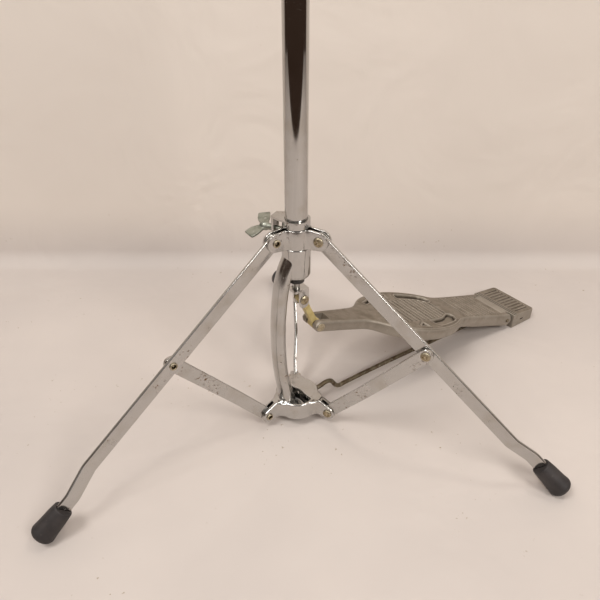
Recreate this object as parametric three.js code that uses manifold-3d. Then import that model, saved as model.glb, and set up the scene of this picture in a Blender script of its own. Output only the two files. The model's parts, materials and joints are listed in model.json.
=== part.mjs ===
// Hi-hat stand: a folding tripod, a central tube with a pull rod inside it, and a cast foot pedal.
//
// Millimetres, +Z up. The pedal lies along +X from the tube's axis. Heights in this file are above
// the floor; the finished stand is lowered so that the origin is on the tube's axis, in the
// underside of the base casting.

import * as THREE from 'three';
import { mergeVertices } from 'three/addons/utils/BufferGeometryUtils.js';
import Module from 'manifold-3d';

const wasm = await Module();
wasm.setup();

// ---------------------------------------------------------------- driving dimensions

const GAP = 0.3;                                   // clearance between pieces that touch or turn
const BASE_CLEARANCE = 7;                          // base underside above the floor
const ROUND = 24;                                  // sides of tubes and rings
const SMALL_ROUND = 10;                            // sides of rivets, pins and their holes

const TUBE = { radius: 9.5, bore: 7.9, bottom: 171.5, top: 455 };
const SLEEVE = { radius: 12.5, bottom: 161, top: 191.8 };
const BUSHING = { radius: 5.5, bore: 3.3, flange: 7, flangeBottom: 156.5, top: 170 };

// Tripod, in the plane of one leg: r is the distance from the axis.
const COLLAR_PIVOT = { r: 22.1, z: 200.7 };
const KNEE_PIVOT = { r: 121.9, z: 117.0 };
const BASE_PIVOT = { r: 35.3, z: 14.0 };
const BAR = { width: 12.7, thick: 3.0 };
const LEG = { length: 296, jogStart: 238, jogEnd: 262, jog: 7.8 };
const BOOT = { start: 273.5, end: 302.9, topRadius: 8.2, bottomRadius: 10.3, edge: 4 };
const RIVET = { shank: 2.3, hole: 2.6, head: 4.5, headHeight: 1.8, tail: 3.4, tailHeight: 1.4 };
const BOLT_HOLE = 2.8;
const BRACE = { offset: -3.6, footOffset: -0.8, jogStart: 16, jogEnd: 50 };   // set beside the leg
const LEGS = [['left', 180], ['right', -60], ['back', 60]];

const STRAP = { bottom: 192.2, top: 209.8, thick: 2.4, earRadius: 8.2 };
const CLAMP = { azimuth: 120, bottom: 210.1, top: 216.6, reach: 21, boltZ: 203.5, plate: 2,
  rootHalf: 9.5, endHalf: 5 };
const WING_TURN = -16;                             // degrees that the collar's wing bolt stands off level

const BASE = { bottom: 9.5, top: 27, lobeRadius: 7, lobeHalf: 4.4, bulge: 20, bulgeAt: 3, hub: 15,
  wall: 3, dish: 13,
  shelf: [[-1, 30], [-0.5, 8.6], [3.7, 0.7], [4.4, -12.1], [6.6, -24], [40, -24], [40, 30]] };
const ARM = { lateralHalf: 8.8, depthHalf: 6.3 };

// Pedal, in the plane y = 0.
const HEEL_HINGE = { x: 292.5, z: 14 };
const BOARD_TILT = 17.47;                          // degrees above the floor, pedal up
const BOARD = { top: 9.5, plate: 3.5, wall: 3, neckDepth: 10.5, ovalDepth: 12.5, depth: 15.5, rearHalf: 30 };
const OVAL = { u: -142, along: 78, across: 44 };
const TOE = { u: -287.7, w: 4.2, half: 11.3, slotHalf: 5.6, radius: 5.3, pin: 2.4, head: 4.2 };
const HEEL_PLATE = { front: 301.9, rear: 342, half: 31.6, frontTop: 19, rearTop: 14.5 };
const HEEL_PIN = 2.3;
const TONGUE = { half: 21.4, radius: 8 };
const RADIUS_ROD = 2.38;
const RADIUS_ROD_Z = 18.7;                         // where the rod enters the base casting

// Pull rod and what hangs on it.
const ROD = { radius: 3, bottom: 145.5, joint: 440, top: 880 };
const CLEVIS = { x: 4.8, z: 137, half: 4.9, inner: 3.9, outer: 5.5, tip: 128.6, top: 148.6 };
const LINK = { half: 3.5, radius: 5.1, waist: 3.1, play: 1.3 };
const SPRING = { bottom: 171.6, top: 262, coil: 5.6, wire: 0.8, turns: 9 };

// Upper stand.
const UPPER_TUBE = { radius: 7.5, bore: 6.1, bottom: 375, top: 690 };
const HEIGHT_COLLAR = { radius: 14, bottom: 441, top: 468, boltZ: 461.5 };
const SEAT = { bottom: 672, top: 700, rim: 24, feltThick: 7 };
const CLUTCH = { bottom: 800, top: 862, sleeve: 5.6, head: 9.5, felt: 15, boltZ: 853 };

// ---------------------------------------------------------------- geometry helpers

const radians = THREE.MathUtils.degToRad;

function signedVolume(geometry) {
  const p = geometry.attributes.position;
  const index = geometry.index.array;
  const [a, b, c] = [new THREE.Vector3(), new THREE.Vector3(), new THREE.Vector3()];
  let volume = 0;
  for (let i = 0; i < index.length; i += 3) {
    a.fromBufferAttribute(p, index[i]);
    b.fromBufferAttribute(p, index[i + 1]);
    c.fromBufferAttribute(p, index[i + 2]);
    volume += a.dot(b.cross(c)) / 6;
  }
  return volume;
}

// Shares the vertices of a closed geometry and turns its faces outward.
function closed(geometry) {
  geometry.deleteAttribute('normal');
  geometry.deleteAttribute('uv');
  const merged = mergeVertices(geometry, 1e-4);
  if (signedVolume(merged) < 0) {
    const index = merged.index.array;
    for (let i = 0; i < index.length; i += 3) [index[i], index[i + 1]] = [index[i + 1], index[i]];
  }
  return merged;
}

function solid(geometry) {
  const shared = closed(geometry);
  return new wasm.Manifold(new wasm.Mesh({
    numProp: 3,
    vertProperties: new Float32Array(shared.attributes.position.array),
    triVerts: new Uint32Array(shared.index.array),
  }));
}

function geometryOf(manifold) {
  const mesh = manifold.getMesh();
  const geometry = new THREE.BufferGeometry();
  geometry.setAttribute('position', new THREE.BufferAttribute(mesh.vertProperties, 3));
  geometry.setIndex(new THREE.BufferAttribute(mesh.triVerts, 1));
  return geometry;
}

const join = (...solids) => solids.reduce((whole, next) => whole.add(next));
const cut = (body, ...tools) => tools.reduce((whole, tool) => whole.subtract(tool), body);

// A solid of revolution about Z; the profile is a list of [radius, height].
function turned(profile, segments = ROUND) {
  const points = profile.map(([r, h]) => new THREE.Vector2(r, h));
  return new THREE.LatheGeometry(points, segments).rotateX(Math.PI / 2);
}

// The same about Y, for rivets and pins that lie across a leg or the pedal.
function turnedAcross(profile, segments = SMALL_ROUND) {
  return new THREE.LatheGeometry(profile.map(([r, h]) => new THREE.Vector2(r, h)), segments);
}

function ring(inner, outer, bottom, top, segments = ROUND) {
  return turned([[inner, bottom], [outer, bottom], [outer, top], [inner, top], [inner, bottom]], segments);
}

function disc(radius, bottom, top, segments = ROUND) {
  return turned([[0, bottom], [radius, bottom], [radius, top], [0, top]], segments);
}

function acrossPin(radius, from, to, segments = SMALL_ROUND) {
  return turnedAcross([[0, from], [radius, from], [radius, to], [0, to]], segments);
}

// A round pin or hole along +X.
function alongPin(radius, from, to) {
  return disc(radius, from, to, SMALL_ROUND).rotateY(Math.PI / 2);
}

function box(x0, x1, y0, y1, z0, z1) {
  return new THREE.BoxGeometry(x1 - x0, y1 - y0, z1 - z0)
    .translate((x0 + x1) / 2, (y0 + y1) / 2, (z0 + z1) / 2);
}

// An outline in X and Z, given thickness from y0 to y1.
function sidePlate(shape, y0, y1, curveSegments = 8) {
  return new THREE.ExtrudeGeometry(shape, { depth: y1 - y0, bevelEnabled: false, curveSegments })
    .rotateX(Math.PI / 2).translate(0, y1, 0);
}

// An outline in X and Y, given height from z0 to z1.
function floorPlate(shape, z0, z1, curveSegments = 8) {
  return new THREE.ExtrudeGeometry(shape, { depth: z1 - z0, bevelEnabled: false, curveSegments })
    .translate(0, 0, z0);
}

// Two round ends joined by straight sides, from the point a to the point b.
function stadium(ax, ay, bx, by, radius) {
  const along = Math.atan2(by - ay, bx - ax);
  const shape = new THREE.Shape();
  shape.absarc(bx, by, radius, along - Math.PI / 2, along + Math.PI / 2, false);
  shape.absarc(ax, ay, radius, along + Math.PI / 2, along + 1.5 * Math.PI, false);
  return shape;
}

function polygon(points) {
  return new THREE.Shape(points.map(([x, y]) => new THREE.Vector2(x, y)));
}

function circle(x, y, radius) {
  return new THREE.Shape().absarc(x, y, radius, 0, 2 * Math.PI, false);
}

// A round or oval bar swept along smooth points.
function swept(points, halfAcross, halfDeep, steps, sides = 12) {
  const path = new THREE.CatmullRomCurve3(points.map(([x, y, z]) => new THREE.Vector3(x, y, z)));
  const section = new THREE.Shape().absellipse(0, 0, halfAcross, halfDeep, 0, 2 * Math.PI, false, 0);
  return new THREE.ExtrudeGeometry(section, {
    steps, curveSegments: sides, bevelEnabled: false, extrudePath: path,
  });
}

// ---------------------------------------------------------------- materials

function finish(color, metalness, roughness) {
  return new THREE.MeshStandardMaterial({ color, metalness, roughness });
}

const chrome = () => finish(0xb9b3a8, 1.0, 0.12);
const castAlloy = () => finish(0x8c8276, 0.75, 0.5);
const agedBrass = () => finish(0x9c8a66, 0.9, 0.4);
const tarnishedSteel = () => finish(0x6e6450, 0.8, 0.5);
const zinc = () => finish(0x8e8f80, 0.8, 0.45);
const blackRubber = () => finish(0x2b2727, 0.0, 0.75);
const blackNylon = () => finish(0x1e1c1c, 0.0, 0.55);
const paleNylon = () => finish(0xd3c48a, 0.0, 0.5);
const felt = () => finish(0x9a958c, 0.0, 0.95);
const springSteel = () => finish(0x7c7a76, 0.9, 0.4);

const stand = new THREE.Group();
stand.position.z = -BASE_CLEARANCE;

function piece(name, shape, material, parent = stand) {
  const geometry = shape instanceof THREE.BufferGeometry ? closed(shape) : geometryOf(shape);
  const mesh = new THREE.Mesh(geometry, material);
  mesh.name = name;
  parent.add(mesh);
  return mesh;
}

// A group turned about the axis, so that its +X points outward at the azimuth.
function spoke(azimuth) {
  const group = new THREE.Group();
  group.rotation.z = radians(azimuth);
  stand.add(group);
  return group;
}

// ---------------------------------------------------------------- spine: sleeve, arm and base

function sleeveSolid() {
  const { radius, bottom, top } = SLEEVE;
  const round = 3;
  const body = turned([[0, bottom], [radius - round, bottom], [radius - 0.9, bottom + 0.9],
    [radius, bottom + round], [radius, top - 1.2], [radius - 1.2, top], [0, top]]);
  return solid(body);
}

function sleeveBores() {
  return join(
    solid(disc(TUBE.radius + GAP, TUBE.bottom - GAP, SLEEVE.top + 1)),
    solid(disc(BUSHING.radius + GAP, SLEEVE.bottom - 1, TUBE.bottom)),
  );
}

function armSolid() {
  const line = [[-7, 0, 181], [-12.5, 0, 168], [-17, 0, 150], [-20, 0, 120], [-20.4, 0, 92],
    [-18.6, 0, 62], [-15, 0, 40], [-11.5, 0, 20]];
  return solid(swept(line, ARM.lateralHalf, ARM.depthHalf, 14, 7));
}

// The lobe that holds the foot of one brace, pointing along +X.
function lobeSolid() {
  const { r, z } = BASE_PIVOT;
  const side = new THREE.Shape();
  side.moveTo(0, BASE_CLEARANCE);
  side.lineTo(r, BASE_CLEARANCE);
  side.absarc(r, z, BASE.lobeRadius, -Math.PI / 2, radians(62), false);
  side.lineTo(24, BASE.top + 1);
  side.lineTo(0, BASE.top + 1);
  return solid(sidePlate(side, -BASE.lobeHalf, BASE.lobeHalf));
}

function lobeSlot() {
  const half = BAR.thick / 2 + GAP;
  const middle = BRACE.footOffset;
  const inner = BASE_PIVOT.r - BAR.width / 2 - 1;
  const opening = box(inner, inner + 30, middle - half, middle + half, BASE_CLEARANCE - 1, BASE.top + 6);
  const rivetHole = acrossPin(RIVET.hole, -20, 20).translate(BASE_PIVOT.r, 0, BASE_PIVOT.z);
  return join(solid(opening), solid(rivetHole));
}

// A cup with three bulged sides and a lobe at each corner. The foot of the arm flares into its floor,
// and the half beside the pedal is filled to a level shelf.
function spineSolid() {
  const { hub, top, bulge, bulgeAt, wall, dish } = BASE;
  let base = solid(disc(hub, BASE_CLEARANCE, BASE.bottom + 1).translate(-3, 0, 0));
  const slots = [];
  const hollows = [];
  for (const [, azimuth] of LEGS) {
    const turn = [0, 0, azimuth];
    base = base.add(lobeSolid().rotate(turn));
    slots.push(lobeSlot().rotate(turn));
    const opposite = radians(azimuth + 180);
    const [x, y] = [bulgeAt * Math.cos(opposite), bulgeAt * Math.sin(opposite)];
    base = base.add(solid(floorPlate(circle(x, y, bulge), BASE.bottom, top, 12)));
    hollows.push(solid(floorPlate(circle(x, y, bulge - wall), dish, top + 9, 12)));
  }
  const flare = solid(turned([[0, dish - 1], [14, dish - 1], [11.5, top - 7], [9.5, top + 4],
    [8, top + 9], [0, top + 9]]).translate(-11, 0, 0));
  const rodHole = solid(alongPin(RADIUS_ROD + GAP, 16, 46).translate(0, 0, RADIUS_ROD_Z));
  const shelf = base.intersect(solid(floorPlate(polygon(BASE.shelf), dish - 1, top)));
  const cup = join(cut(base, ...hollows), shelf, flare);
  return cut(join(cup, armSolid(), sleeveSolid()), sleeveBores(), rodHole, ...slots);
}

piece('spine_casting', spineSolid(), chrome());

// ---------------------------------------------------------------- lower tube and its bushing

piece('lower_tube', ring(TUBE.bore, TUBE.radius, TUBE.bottom, TUBE.top), chrome());

const bushingProfile = [[BUSHING.bore, BUSHING.flangeBottom], [BUSHING.flange, BUSHING.flangeBottom],
  [BUSHING.flange, SLEEVE.bottom - GAP], [BUSHING.radius, SLEEVE.bottom - GAP],
  [BUSHING.radius, BUSHING.top], [BUSHING.bore, BUSHING.top], [BUSHING.bore, BUSHING.flangeBottom]];
piece('rod_bushing', turned(bushingProfile, 20), blackNylon());

// ---------------------------------------------------------------- rivets

// Domed head on the clockwise side (-Y), hollow rolled tail on the other.
function throughRivet(halfGrip) {
  const { shank, head, headHeight, tail, tailHeight } = RIVET;
  const a = -halfGrip - GAP;
  const b = halfGrip + GAP;
  return turnedAcross([[0, a - headHeight], [head * 0.6, a - headHeight * 0.85], [head, a - 0.4], [head, a],
    [shank, a], [shank, b], [tail, b], [tail, b + tailHeight * 0.5], [tail * 0.7, b + tailHeight],
    [tail * 0.4, b + tailHeight], [tail * 0.4, b], [0, b]]);
}

function rivetHead(face, inner) {
  const { shank, head, headHeight } = RIVET;
  const a = face - GAP;
  return turnedAcross([[0, a - headHeight], [head * 0.6, a - headHeight * 0.85], [head, a - 0.4], [head, a],
    [shank, a], [shank, inner], [0, inner]]);
}

function rivetTail(inner, face) {
  const { shank, tail, tailHeight } = RIVET;
  const b = face + GAP;
  return turnedAcross([[0, inner], [shank, inner], [shank, b], [tail, b], [tail, b + tailHeight * 0.5],
    [tail * 0.7, b + tailHeight], [tail * 0.4, b + tailHeight], [tail * 0.4, b], [0, b]]);
}

// ---------------------------------------------------------------- collar: three pressed straps

const legHalf = BAR.thick / 2;
const strapInner = legHalf + GAP;
const strapOuter = strapInner + STRAP.thick;

// One strap, with its middle on +X and an ear beside the legs at +60 and -60 degrees.
function strapSolid(withBoltHole) {
  const middle = ring(TUBE.radius + GAP, TUBE.radius + GAP + STRAP.thick, STRAP.bottom, STRAP.top);
  const wedge = polygon([[0, 0], [30 * Math.cos(radians(48)), 30 * Math.sin(radians(48))], [60, 0],
    [30 * Math.cos(radians(48)), -30 * Math.sin(radians(48))]]);
  let strap = solid(middle).intersect(solid(floorPlate(wedge, STRAP.bottom - 1, STRAP.top + 1)));
  for (const side of [1, -1]) {
    const { r, z } = COLLAR_PIVOT;
    const outline = stadium(TUBE.radius + 9, z, r, z, STRAP.earRadius);
    const inner = box(TUBE.radius + GAP + 0.2, TUBE.radius + 9, -20, 20, STRAP.bottom, STRAP.top);
    const [y0, y1] = side > 0 ? [-strapOuter, -strapInner] : [strapInner, strapOuter];
    const rounded = solid(sidePlate(outline, y0, y1));
    const root = solid(inner).intersect(solid(box(0, 40, y0, y1, 0, 400)));
    const hole = solid(acrossPin(RIVET.hole, -20, 20).translate(r, 0, z));
    const ear = cut(join(rounded, root), hole, solid(disc(TUBE.radius + GAP, 150, 250)));
    strap = strap.add(ear.rotate([0, 0, side * 60]));
  }
  strap = strap.intersect(solid(box(-5, 60, -60, 60, STRAP.bottom, STRAP.top)));
  if (!withBoltHole) return strap;
  return cut(strap, solid(alongPin(BOLT_HOLE, 0, 30).translate(0, 0, CLAMP.boltZ)));
}

piece('collar_strap_front', strapSolid(false), chrome(), spoke(-120));
piece('collar_strap_pedal', strapSolid(false), chrome(), spoke(0));
piece('collar_strap_clamp', strapSolid(true), chrome(), spoke(CLAMP.azimuth));

// Bent sheet bracket on top of the straps: a ring round the tube, a tapered top and an end plate.
function clampBracketSolid() {
  const { bottom, top, reach, plate, boltZ, rootHalf, endHalf } = CLAMP;
  const band = solid(ring(TUBE.radius + GAP, TUBE.radius + GAP + plate, bottom, top));
  const taper = polygon([[6, -rootHalf], [reach, -endHalf], [reach, endHalf], [6, rootHalf]]);
  const roof = solid(floorPlate(taper, top - plate, top));
  const end = solid(box(reach - plate, reach, -endHalf, endHalf, boltZ - 6.5, top));
  const bore = solid(disc(TUBE.radius + GAP, bottom - 1, top + 1));
  const boltHole = solid(alongPin(BOLT_HOLE, 0, 40).translate(0, 0, boltZ));
  return cut(join(band, roof, end), bore, boltHole);
}

// Wing bolt along +X, from the tip of its thread to the end of its hub. Its two blades lean outward
// from the hub and have squared ends.
function wingBoltSolid(tip, seat, size = 1, stem = 6, turn = 0) {
  const hub = 3.8 * size;
  const start = seat + stem * size;
  const hubEnd = start + 6.5 * size;
  const body = turned([[0, tip], [2.1, tip + 0.6], [2.4, seat], [2.9 * size, seat], [2.9 * size, start - 1],
    [hub, start], [hub * 1.1, start + 3 * size], [hub * 0.8, hubEnd], [0, hubEnd + 0.6]], 16)
    .rotateY(Math.PI / 2);
  const blade = new THREE.Shape();
  blade.moveTo(start, 0);
  for (const [along, out] of [[2.5, 5.3], [3.9, 10.9], [7.1, 16.8], [14.3, 13.2], [11.5, 7.1], [7.9, 2.7]]) {
    blade.lineTo(start + along * size, out * size);
  }
  blade.lineTo(start + 5.8 * size, 0);
  const half = 1.2 * size;
  const wing = solid(floorPlate(blade, -half, half, 5));
  return join(solid(body), wing, wing.rotate([180, 0, 0])).rotate([turn, 0, 0]);
}

const clampSide = spoke(CLAMP.azimuth);
piece('clamp_bracket', clampBracketSolid(), chrome(), clampSide);
piece('collar_wing_bolt', wingBoltSolid(TUBE.radius + GAP, CLAMP.reach + GAP, 1, 6, WING_TURN), zinc(),
  clampSide).position.z = CLAMP.boltZ;

// ---------------------------------------------------------------- legs, braces and boots

const legDrop = Math.atan2(COLLAR_PIVOT.z - KNEE_PIVOT.z, KNEE_PIVOT.r - COLLAR_PIVOT.r);
const kneeAlongLeg = Math.hypot(COLLAR_PIVOT.z - KNEE_PIVOT.z, KNEE_PIVOT.r - COLLAR_PIVOT.r);
const braceRise = Math.atan2(KNEE_PIVOT.z - BASE_PIVOT.z, KNEE_PIVOT.r - BASE_PIVOT.r);
const braceLength = Math.hypot(KNEE_PIVOT.z - BASE_PIVOT.z, KNEE_PIVOT.r - BASE_PIVOT.r);

// Flat bar along +X from the collar pivot, thick across Y, set over sideways near its foot.
function legSolid() {
  const { length, jogStart, jogEnd, jog } = LEG;
  const h = legHalf;
  const edge = (y) => [[-20, y], [jogStart, y], [jogEnd, y + jog], [length, y + jog]];
  const plan = polygon([...edge(-h), ...edge(h).reverse()]);
  const bent = solid(floorPlate(plan, -BAR.width / 2, BAR.width / 2));
  const outline = stadium(0, 0, length - BAR.width / 2, 0, BAR.width / 2 - 0.01);
  const flat = solid(sidePlate(outline, -20, 20, 6));
  const holes = [0, kneeAlongLeg].map((x) => solid(acrossPin(RIVET.hole, -20, 20).translate(x, 0, 0)));
  return cut(bent.intersect(flat), ...holes);
}

// Flat bar along +X from the base pivot to the knee, bent so that it lies beside the leg.
function braceSolid() {
  const { offset, footOffset, jogStart, jogEnd } = BRACE;
  const edge = (y) => [[-20, footOffset + y], [jogStart, footOffset + y], [jogEnd, offset + y],
    [braceLength + 20, offset + y]];
  const plan = polygon([...edge(-legHalf), ...edge(legHalf).reverse()]);
  const bent = solid(floorPlate(plan, -BAR.width / 2, BAR.width / 2));
  const flat = solid(sidePlate(stadium(0, 0, braceLength, 0, BAR.width / 2 - 0.01), -20, 20, 6));
  const holes = [0, braceLength].map((x) => solid(acrossPin(RIVET.hole, -20, 20).translate(x, 0, 0)));
  return cut(bent.intersect(flat), ...holes);
}

// Flared rubber foot along +X, with a slot for the end of the bar.
function bootSolid() {
  const { start, end, topRadius, bottomRadius, edge } = BOOT;
  const profile = [[0, start], [topRadius - 1, start], [topRadius, start + 1.2],
    [bottomRadius - 0.6, end - 9], [bottomRadius, end - edge], [bottomRadius - 1.3, end - 1.3],
    [bottomRadius - edge, end], [0, end]];
  const body = solid(turned(profile, 20).rotateY(Math.PI / 2));
  const pocket = box(start - 1, LEG.length + GAP, -legHalf - GAP, legHalf + GAP,
    -BAR.width / 2 - GAP, BAR.width / 2 + GAP);
  return cut(body, solid(pocket));
}

for (const [name, azimuth] of LEGS) {
  const plane = spoke(azimuth);

  const leg = new THREE.Group();
  leg.position.set(COLLAR_PIVOT.r, 0, COLLAR_PIVOT.z);
  leg.rotation.y = legDrop;
  plane.add(leg);
  piece(`leg_${name}`, legSolid(), chrome(), leg);
  piece(`boot_${name}`, bootSolid(), blackRubber(), leg).position.y = LEG.jog;
  piece(`knee_rivet_tail_${name}`, rivetTail(-legHalf, legHalf), agedBrass(), leg).position.x = kneeAlongLeg;
  piece(`collar_rivet_${name}`, throughRivet(strapOuter), agedBrass(), plane)
    .position.set(COLLAR_PIVOT.r, 0, COLLAR_PIVOT.z);

  const brace = new THREE.Group();
  brace.position.set(BASE_PIVOT.r, 0, BASE_PIVOT.z);
  brace.rotation.y = -braceRise;
  plane.add(brace);
  piece(`brace_${name}`, braceSolid(), chrome(), brace);
  const headShape = rivetHead(BRACE.offset - legHalf, BRACE.offset + legHalf);
  piece(`knee_rivet_head_${name}`, headShape, agedBrass(), brace).position.x = braceLength;
  piece(`base_rivet_${name}`, throughRivet(BASE.lobeHalf), agedBrass(), plane)
    .position.set(BASE_PIVOT.r, 0, BASE_PIVOT.z);
}

// ---------------------------------------------------------------- pedal: footboard

// Outline halves of the board, u along it from the heel hinge to the toe, v across.
function boardOutlines(inset) {
  const { half } = TOE;
  const rear = BOARD.rearHalf - inset;
  const heelEnd = inset ? -13 : 0;
  const neck = polygon([[TOE.u, -(half - inset)], [-160, -(15 - inset)], [-160, 15 - inset],
    [TOE.u, half - inset]]);
  const oval = new THREE.Shape()
    .absellipse(OVAL.u, 0, OVAL.along - inset, OVAL.across - inset, 0, 2 * Math.PI, false, 0);
  const heel = polygon([[-100, -(26 - inset)], [heelEnd, -rear], [heelEnd, rear], [-100, 26 - inset]]);
  return { neck, oval, heel };
}

function footboardSolid() {
  const { top, plate, wall, neckDepth, ovalDepth, depth } = BOARD;
  const outer = boardOutlines(0);
  const toeEnd = solid(sidePlate(circle(TOE.u, TOE.w, TOE.radius), -TOE.half, TOE.half));
  const heelEnd = solid(sidePlate(circle(0, 0.8, top - 0.8), -BOARD.rearHalf, BOARD.rearHalf));
  const board = join(
    solid(floorPlate(outer.neck, top - neckDepth, top)),
    solid(floorPlate(outer.oval, top - ovalDepth, top, 18)),
    solid(floorPlate(outer.heel, top - depth, top)),
    toeEnd, heelEnd,
  );
  const inner = boardOutlines(wall);
  const hollow = join(
    solid(floorPlate(inner.neck, -20, top - plate)),
    solid(floorPlate(inner.oval, -20, top - plate, 18)),
    solid(floorPlate(inner.heel, -20, top - plate)),
  ).intersect(solid(box(TOE.u + 22, 40, -60, 60, -20, top)));
  const toeSlot = solid(box(TOE.u - 20, TOE.u + 14, -TOE.slotHalf, TOE.slotHalf, -20, 20));
  const pinHole = solid(acrossPin(TOE.pin + GAP, -40, 40).translate(TOE.u, 0, TOE.w));
  const heelNotch = solid(box(-TONGUE.radius - 1.6, 40, -TONGUE.half - GAP, TONGUE.half + GAP, -30, 30));
  const heelHole = solid(acrossPin(HEEL_PIN + GAP, -40, 40));
  return cut(board, hollow, toeSlot, pinHole, heelNotch, heelHole);
}

const pedal = new THREE.Group();
pedal.position.set(HEEL_HINGE.x, 0, HEEL_HINGE.z);
pedal.rotation.y = radians(BOARD_TILT);
stand.add(pedal);

piece('footboard', footboardSolid(), castAlloy(), pedal);

const pinProfile = [[0, -TOE.half - 1.4], [TOE.head, -TOE.half - 1.0], [TOE.head, -TOE.half - GAP],
  [TOE.pin, -TOE.half - GAP], [TOE.pin, TOE.half + GAP], [TOE.head, TOE.half + GAP],
  [TOE.head, TOE.half + 1.0], [0, TOE.half + 1.4]];
piece('toe_pin', turnedAcross(pinProfile), agedBrass(), pedal).position.set(TOE.u, 0, TOE.w);
const hingePinEnd = BOARD.rearHalf + 0.4;
piece('heel_hinge_pin', acrossPin(HEEL_PIN, -hingePinEnd, hingePinEnd), tarnishedSteel(), pedal);

// ---------------------------------------------------------------- pedal: heel plate and radius rod

function heelPlateSolid() {
  const { front, rear, half, frontTop, rearTop } = HEEL_PLATE;
  const corner = 4;
  const plan = polygon([[front, -half], [rear - corner, -half], [rear, -half + corner],
    [rear, half - corner], [rear - corner, half], [front, half]]);
  const side = polygon([[front, 0], [rear, 0], [rear, rearTop], [front, frontTop]]);
  const slab = solid(floorPlate(plan, 0, 30)).intersect(solid(sidePlate(side, -half, half)));
  const eye = circle(HEEL_HINGE.x, HEEL_HINGE.z, TONGUE.radius);
  const barrel = solid(sidePlate(eye, -TONGUE.half, TONGUE.half));
  const eyeX = HEEL_HINGE.x + 2;
  const web = polygon([[eyeX, 10], [front + 2, 8], [front + 2, frontTop - 0.2], [eyeX, 21.9]]);
  const tongue = solid(sidePlate(web, -TONGUE.half, TONGUE.half));
  const pocket = solid(box(front + 3.5, rear - 3.5, -half + 4, half - 4, -1, 10));
  const pinHole = solid(acrossPin(HEEL_PIN + GAP, -40, 40).translate(HEEL_HINGE.x, 0, HEEL_HINGE.z));
  const rodHole = solid(alongPin(RADIUS_ROD + GAP, front - 30, front + 30).translate(0, 0, 5));
  return cut(join(slab, barrel, tongue), pocket, pinHole, rodHole);
}

piece('heel_plate', heelPlateSolid(), castAlloy());

// Floor rod from the base casting to the heel plate, cranked over a hump just outside the base.
const rodLine = [[17, 0, RADIUS_ROD_Z], [28, 0, RADIUS_ROD_Z], [36, 0, 20.6], [43, 0, 18.8], [49, 0, 10.5],
  [55, 0, 6.8],
  [64, 0, 7.4], [120, 0, 8], [200, 0, 6.5], [270, 0, 5], [330, 0, 5]];
piece('radius_rod', swept(rodLine, RADIUS_ROD, RADIUS_ROD, 40, 2.5), tarnishedSteel());

// ---------------------------------------------------------------- pull rod, clevis and link

piece('lower_rod', disc(ROD.radius, ROD.bottom, ROD.joint, SMALL_ROUND), springSteel());
piece('upper_rod', turned([[0, ROD.joint + GAP], [ROD.radius, ROD.joint + GAP], [ROD.radius, ROD.top - 1.5],
  [ROD.radius - 1.5, ROD.top], [0, ROD.top]], SMALL_ROUND), chrome());
piece('rod_coupler', ring(ROD.radius + GAP, 4.6, ROD.joint - 12, ROD.joint + 12, 18), springSteel());
piece('spring_collar', ring(ROD.radius + GAP, 6.6, SPRING.top + GAP, SPRING.top + 9, 18), springSteel());

function clevisSolid() {
  const { x, half, inner, outer, tip, top } = CLEVIS;
  const cheek = polygon([[x - half, tip + half], [x + half, tip + half], [x + half, top], [x - half, top]]);
  const outline = solid(sidePlate(cheek, -outer, outer)).add(
    solid(sidePlate(circle(x, tip + half, half), -outer, outer)));
  const roof = solid(box(-5, x + half, -outer, outer, top - 2.4, top));
  const mouth = solid(box(-20, 30, -inner, inner, tip - 5, top - 2.4));
  const rivetHole = solid(acrossPin(RIVET.hole, -20, 20).translate(x, 0, CLEVIS.z));
  const rodHole = solid(disc(ROD.radius + GAP, top - 10, top + 5, 18));
  return cut(join(outline, roof), mouth, rivetHole, rodHole);
}

piece('clevis', clevisSolid(), chrome());
piece('clevis_rivet', throughRivet(CLEVIS.outer), agedBrass()).position.set(CLEVIS.x, 0, CLEVIS.z);

// Toe pin's place in the stand's own frame.
const toePin = new THREE.Vector3(TOE.u, 0, TOE.w).applyEuler(pedal.rotation).add(pedal.position);

function linkSolid() {
  const [ax, az, bx, bz] = [CLEVIS.x, CLEVIS.z, toePin.x, toePin.z];
  const waist = solid(sidePlate(stadium(ax, az, bx, bz, LINK.waist), -LINK.half, LINK.half));
  const ends = [circle(ax, az, LINK.radius - 0.8), circle(bx, bz, LINK.radius)]
    .map((end) => solid(sidePlate(end, -LINK.half, LINK.half)));
  const rivet = solid(acrossPin(RIVET.hole, -20, 20).translate(ax, 0, az));
  const pin = solid(acrossPin(TOE.pin + LINK.play, -20, 20, 24).translate(bx, 0, bz));
  return cut(join(waist, ...ends), rivet, pin);
}

piece('link_strap', linkSolid(), paleNylon());

// ---------------------------------------------------------------- return spring inside the tube

function springGeometry() {
  const { bottom, top, coil, wire, turns } = SPRING;
  class Helix extends THREE.Curve {
    getPoint(t, target = new THREE.Vector3()) {
      const angle = 2 * Math.PI * turns * t;
      const height = bottom + wire + (top - bottom - 2 * wire) * t;
      return target.set(coil * Math.cos(angle), coil * Math.sin(angle), height);
    }
  }
  const section = new THREE.Shape().absarc(0, 0, wire, 0, 2 * Math.PI, false);
  return new THREE.ExtrudeGeometry(section, {
    steps: turns * 10, curveSegments: 2, bevelEnabled: false, extrudePath: new Helix(),
  });
}

piece('return_spring', springGeometry(), springSteel());

// ---------------------------------------------------------------- height collar and upper tube

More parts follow.
